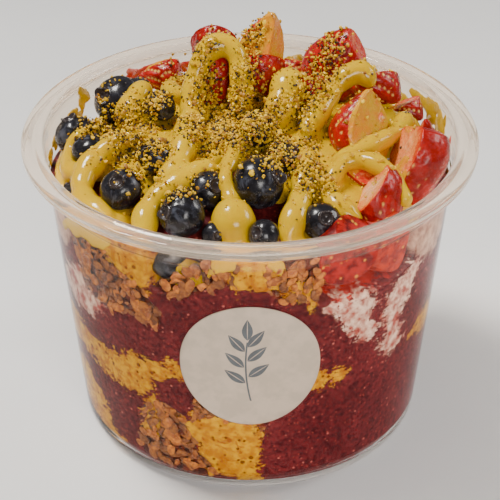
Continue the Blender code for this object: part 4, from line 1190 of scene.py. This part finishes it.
# Crumbs: places where they lie thick, as centre, spread along X and up the heap, and share
CRUMB_HEAPS = [
    ((-43, 0, 81), (1.4, 1.6), 0.4), ((-38, 12, 78), (2.0, 2.2), 0.5),
    ((-39, 9, 76), (2.4, 2.6), 0.8), ((-32, 2, 82), (2.8, 2.8), 0.9),
    ((-28, 3, 82), (2.4, 2.6), 0.8), ((-25, 1, 88), (2.2, 2.2), 0.7),
    ((-22, 2, 90), (1.6, 1.8), 0.6), ((-29, -10, 83), (3.0, 2.6), 0.9),
    ((-33, -10, 80), (2.2, 2.2), 0.5), ((-26, -19, 80), (2.2, 2.2), 0.6),
    ((-22, -29, 84), (1.4, 1.4), 0.3), ((-29, -25, 84), (1.8, 1.4), 0.5),
    ((-23, -21, 89), (2.6, 2.2), 0.8), ((-18, 26, 79), (2.0, 2.0), 0.3),
    ((-10, 8, 94), (2.0, 2.6), 0.5), ((-11, 7, 90), (2.0, 2.4), 0.9),
    ((-11, 6, 85), (2.8, 2.4), 0.9), ((-12, -11, 88), (3.0, 3.0), 1.0),
    ((-8, -5, 85), (3.2, 3.0), 1.0), ((-4, 2, 85), (3.2, 3.0), 1.0),
    ((-11, -12, 84), (2.4, 2.2), 0.7), ((-3, -9, 85), (3.0, 2.8), 1.0),
    ((-3, -3, 85), (3.2, 3.2), 1.0), ((-19, -40, 86), (1.8, 1.4), 0.4),
    ((-15, -38, 86), (1.8, 1.4), 0.5), ((-13, -31, 86), (1.4, 1.2), 0.2),
    ((2, 21, 98), (2.2, 1.8), 0.6), ((-1, 21, 95), (2.2, 2.0), 0.5),
    ((1, 8, 92), (2.4, 2.8), 0.7), ((7, -4, 90), (2.4, 2.2), 0.6),
    ((3, -14, 93), (3.4, 2.6), 1.0), ((6, -10, 84), (3.0, 3.0), 0.9),
    ((-1, -14, 85), (3.2, 2.8), 1.0), ((7, -24, 87), (2.8, 2.6), 0.9),
    ((15, 2, 89), (2.6, 3.0), 0.9), ((18, 3, 93), (2.0, 2.0), 0.6),
    ((13, 1, 85), (2.2, 2.2), 0.5), ((15, -9, 83), (2.2, 2.6), 0.5),
    ((15, -27, 86), (2.4, 3.2), 0.7), ((17, -29, 83), (2.2, 2.8), 0.6),
    ((13, -33, 84), (1.6, 1.6), 0.3), ((21, 23, 94), (2.8, 2.6), 0.45),
    ((19, 21, 89), (2.4, 2.4), 0.5), ((22, 7, 94), (1.8, 1.8), 0.2),
    ((3, -33, 90), (2.6, 2.4), 0.12),
]
CRUMB_COUNT = 10500
STRAY_SHARE = 0.11
# Share of dark crumbs, which stand in for the painted shade between the golden crumbs
SHADE_CRUMB_SHARE = 0.32
CRUMBS_ABOVE = 74.0
CRUMBS_WITHIN = 48.5
# Crumbs were strewn from the front and from above
STREWN_FROM = [(0.0, -0.70, 0.72), (0.0, 0.0, 1.0)]


def crumb_material():
    material, tree, shader = new_material("golden_crumb")
    shade = value_of(tree, "shade")
    warm = mixed(tree, ramp(tree, shade, 0.0, 0.35), (0.30, 0.11, 0.0), (0.60, 0.35, 0.0))
    colour = mixed(tree, ramp(tree, shade, 0.5, 1.0), warm, (0.80, 0.52, 0.005))
    set_shader(tree, shader, base_color=colour, roughness=0.5, subsurface_weight=0.15,
               subsurface_radius=(0.001, 0.0006, 0.0002))
    bump(tree, shader, grain_noise(tree, 0.3, 3.0), 0.1, 0.6)
    return material


# Near-black crumbs that stand in for the shade between the golden crumbs: painted shade
def painted_shade_crumb_material():
    material, tree, shader = new_material("painted_shade_crumb")
    tone = mottle(tree, (0.06, 0.024, 0.006), (0.014, 0.007, 0.003), 0.5, 0.2)
    set_shader(tree, shader, base_color=tone, roughness=0.5)
    bump(tree, shader, grain_noise(tree, 0.3, 3.0), 0.08, 0.5)
    return material


GOLDEN = (1.0 + math.sqrt(5.0)) / 2.0
CRUMB_CORNERS = [corner for first in (-1, 1) for second in (-GOLDEN, GOLDEN)
                 for corner in ((0, first, second), (first, second, 0), (second, 0, first))]


def crumb_shape(generator, size):
    """Small angular crumb."""
    corners = np.array(CRUMB_CORNERS) / 1.9
    jitter = np.array([[generator.uniform(0.6, 1.25) for axis in range(3)] for corner in corners])
    stretch = np.array([generator.uniform(0.5, 1.6) for axis in range(3)])
    return corners * jitter * stretch * size / 2.0


def crumb_faces():
    body = bmesh.new()
    for corner in CRUMB_CORNERS:
        body.verts.new(corner)
    bmesh.ops.convex_hull(body, input=body.verts)
    body.verts.index_update()
    faces = [tuple(vertex.index for vertex in face.verts) for face in body.faces]
    body.free()
    return faces


def surface_of(objects):
    points, faces, start = [], [], 0
    for item in objects:
        mesh = item.data
        spots = np.empty(len(mesh.vertices) * 3, np.float32)
        mesh.vertices.foreach_get("co", spots)
        points += [tuple(spot) for spot in (spots.reshape(-1, 3) / MM)]
        faces += [tuple(start + vertex for vertex in face.vertices) for face in mesh.polygons]
        start += len(mesh.vertices)
    return BVHTree.FromPolygons(points, faces)


def make_crumbs(ground):
    generator = random.Random(5)
    tree = surface_of(ground)
    sides = crumb_faces()
    weights = [share * spread[0] * spread[1] for centre, spread, share in CRUMB_HEAPS]
    golden_ones, shade_ones = ([], []), ([], [])
    count = CRUMB_COUNT
    for index in range(count):
        stray = generator.random() < STRAY_SHARE
        source = Vector(STREWN_FROM[int(generator.random() < 0.35)])
        if stray:
            turn, reach = generator.uniform(0, math.tau), 44.0 * math.sqrt(generator.random())
            aim = Vector((reach * math.cos(turn), reach * math.sin(turn), 84.0))
            source = Vector(STREWN_FROM[1])
        else:
            centre, spread, share = generator.choices(CRUMB_HEAPS, weights)[0]
            up_heap = Vector((0.0, source.z, -source.y))
            aim = Vector(centre) + Vector((generator.gauss(0, spread[0] * 0.85), 0, 0))
            aim += up_heap * generator.gauss(0, spread[1] * 0.85)
        found, normal, face, distance = tree.ray_cast(aim + source * 45.0, -source)
        if (found is None or normal.dot(source) < 0.15 or found.z < CRUMBS_ABOVE
                or math.hypot(found.x, found.y) > CRUMBS_WITHIN):
            continue
        # Dark crumbs are painted shade among the golden ones
        dark = generator.random() < (0.15 if stray else SHADE_CRUMB_SHARE)
        size = generator.uniform(0.35, 0.75) if dark else 0.42 + 0.7 * generator.random() ** 2.0
        axis = Vector([generator.uniform(-1, 1) for part in range(3)])
        spin = Matrix.Rotation(generator.uniform(0, math.tau), 3, axis)
        lift = 0.2 * size + (0.0 if stray else 0.9 * generator.random() ** 2)
        points = crumb_shape(generator, size) @ np.array(spin).T
        points = points + np.array(found + normal * lift)
        parts, shades = shade_ones if dark else golden_ones
        parts.append((points, sides))
        shades.append(0.0 if dark else generator.random())
    for piece in (joined("golden_crumbs", *golden_ones, crumb_material()),
                  joined("painted_shade_crumbs", *shade_ones, painted_shade_crumb_material())):
        piece.data.shade_flat()
        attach(piece, "root")


# Smears that the filling left on the inside of the wall: angle, height, width, height of each
MUSTARD_SMEARS = [
    (-121, 77.2, 5, 6), (-114.5, 74.5, 5, 4), (-118, 73, 4, 3), (-92, 73, 6, 4),
    (-100, 73.5, 5, 4), (121, 77, 6, 5), (113, 77, 9, 7), (106, 76, 7, 6), (103, 78.3, 2, 3),
    (128, 74, 8, 5), (166, 76.5, 6, 3), (161, 77.5, 3, 3), (150, 73.5, 8, 5), (176, 73, 9, 4),
    (139, 79, 0.9, 1.1), (134, 78.4, 0.8, 0.9), (-156, 79.6, 0.8, 0.9), (-160, 79, 0.7, 0.8),
    (-150, 73, 8, 4), (-135, 73, 7, 4),
]
RED_SMEARS = [
    (-142, 77, 5, 3.2), (-148, 77.2, 7, 2.2), (-154, 76.6, 6, 2), (-160, 75.5, 7, 3),
    (-144, 75.2, 4, 2.2), (-168, 74.5, 8, 3), (130.5, 77.6, 2.4, 2.4), (145, 74.5, 7, 2.4),
    (82, 74, 5, 3), (95, 76, 1, 3),
]


def wall_smear(generator, angle, height, wide, tall):
    """Thin blot with a torn outline that clings to the inside of the wall."""
    segments = 40
    seed = generator.uniform(0, 50)
    shares = (0.35, 0.6, 0.8, 0.93, 1.0)
    bulge = min(0.45, 0.12 * tall)

    def ring(share, inward):
        points = []
        for index in range(segments):
            turn = math.tau * index / segments
            torn = 1.0 + 0.22 * math.sin(3 * turn + seed) + 0.10 * math.sin(5 * turn + 2 * seed)
            torn += 0.05 * math.sin(11 * turn + 3 * seed)
            level = height + share * torn * tall / 2 * math.sin(turn)
            reach = inside_radius(level)
            arc = share * torn * wide / 2 * math.cos(turn)
            points.append(on_wall(angle + math.degrees(arc / reach), reach - inward, level))
        return points

    points = [on_wall(angle, inside_radius(height) + 0.08, height)]
    for share in shares:
        points += ring(share, -0.08)
    for share in reversed(shares):
        points += ring(share, bulge * (1.0 - share ** 3) + 0.03)
    points.append(on_wall(angle, inside_radius(height) - bulge, height))
    return points, ring_faces(2 * len(shares), segments)


def smear_material(name, thick, thin):
    material, tree, shader = new_material(name)
    spread = grain_noise(tree, 2.2, 5.0, 0.65, 0.6)
    colour = mixed(tree, ramp(tree, spread, 0.35, 0.65), thick, thin)
    set_shader(tree, shader, base_color=colour, roughness=0.3,
               alpha=ramp(tree, spread, 0.42, 0.7, 1.0, 0.45))
    return material


def make_smears():
    generator = random.Random(9)
    for name, slot, smears, thick, thin in (
            ("mustard_smears", "mango_sauce", MUSTARD_SMEARS, (0.42, 0.25, 0), (0.60, 0.38, 0.01)),
            ("red_smears", "strawberry", RED_SMEARS, (0.42, 0.012, 0.008), (0.62, 0.12, 0.07))):
        parts = [wall_smear(generator, *smear) for smear in smears]
        piece = joined(name, parts, [0.0] * len(parts), smear_material(name, thick, thin))
        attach(piece, "root")


# Printed leaf sprig on the sticker: height on the stem and lean of each leaf

LEAVES = [(-5.5, -52), (-3.5, 52), (-0.5, -46), (1.5, 46), (4.5, -38), (6.0, 38), (8.0, 0)]
LEAF_LENGTH = 6.6
LEAF_WIDTH = 2.7


def make_sprig():
    """Plain printed sprig: a curved stem with seven leaves."""
    low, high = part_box("sticker")
    middle = (low[2] + high[2]) / 2 / MM
    lift = WALL_THICKNESS + 0.185

    def seat(across, up):
        radius = float(inside_radius(middle + up)) + lift
        return on_wall(math.degrees(across / radius), radius, middle + up)

    def stem_at(up):
        return 0.035 * (up + 10.0) * (up - 12.0) * 0.25

    points, faces = [], []

    def strip(left, right):
        start = len(points)
        for first, second in zip(left, right):
            points.append(seat(*first))
            points.append(seat(*second))
        for index in range(len(left) - 1):
            corner = start + 2 * index
            faces.append((corner, corner + 1, corner + 3, corner + 2))

    stem = [-11.0 + 0.5 * step for step in range(39)]
    strip([(stem_at(up) - 0.22, up) for up in stem], [(stem_at(up) + 0.22, up) for up in stem])
    for up, lean in LEAVES:
        base = (stem_at(up), up)
        turn = math.radians(lean)
        along = (math.sin(turn), math.cos(turn))
        aside = (along[1], -along[0])
        for sign in (-1, 1):
            inner, outer = [], []
            for step in range(13):
                share = step / 12
                reach = 0.6 + LEAF_LENGTH * share
                half = LEAF_WIDTH / 2 * math.sin(math.pi * share ** 0.8)
                gap = 0.12 * math.sin(math.pi * share)
                for line, offset in ((inner, gap), (outer, max(half, gap))):
                    line.append((base[0] + along[0] * reach + sign * aside[0] * offset,
                                 base[1] + along[1] * reach + sign * aside[1] * offset))
            sides = (inner, outer) if sign > 0 else (outer, inner)
            strip(*sides)
    material, tree, shader = new_material("printed_grey")
    tone = mottle(tree, (0.115, 0.125, 0.135), (0.085, 0.092, 0.10), 2.0)
    set_shader(tree, shader, base_color=tone, roughness=0.55)
    print_piece = solid("printed_sprig", points, faces, material, smooth=False)
    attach(print_piece, "root")


def main():
    make_camera()
    make_studio()
    make_tub()
    make_sticker()
    make_sprig()
    make_layered_food()
    make_smears()
    make_granola()
    berries = make_blueberries(blueberry_material())
    pieces = make_strawberries(strawberry_material())
    sauce = make_sauce()
    make_crumbs([sauce] + berries + pieces)


main()
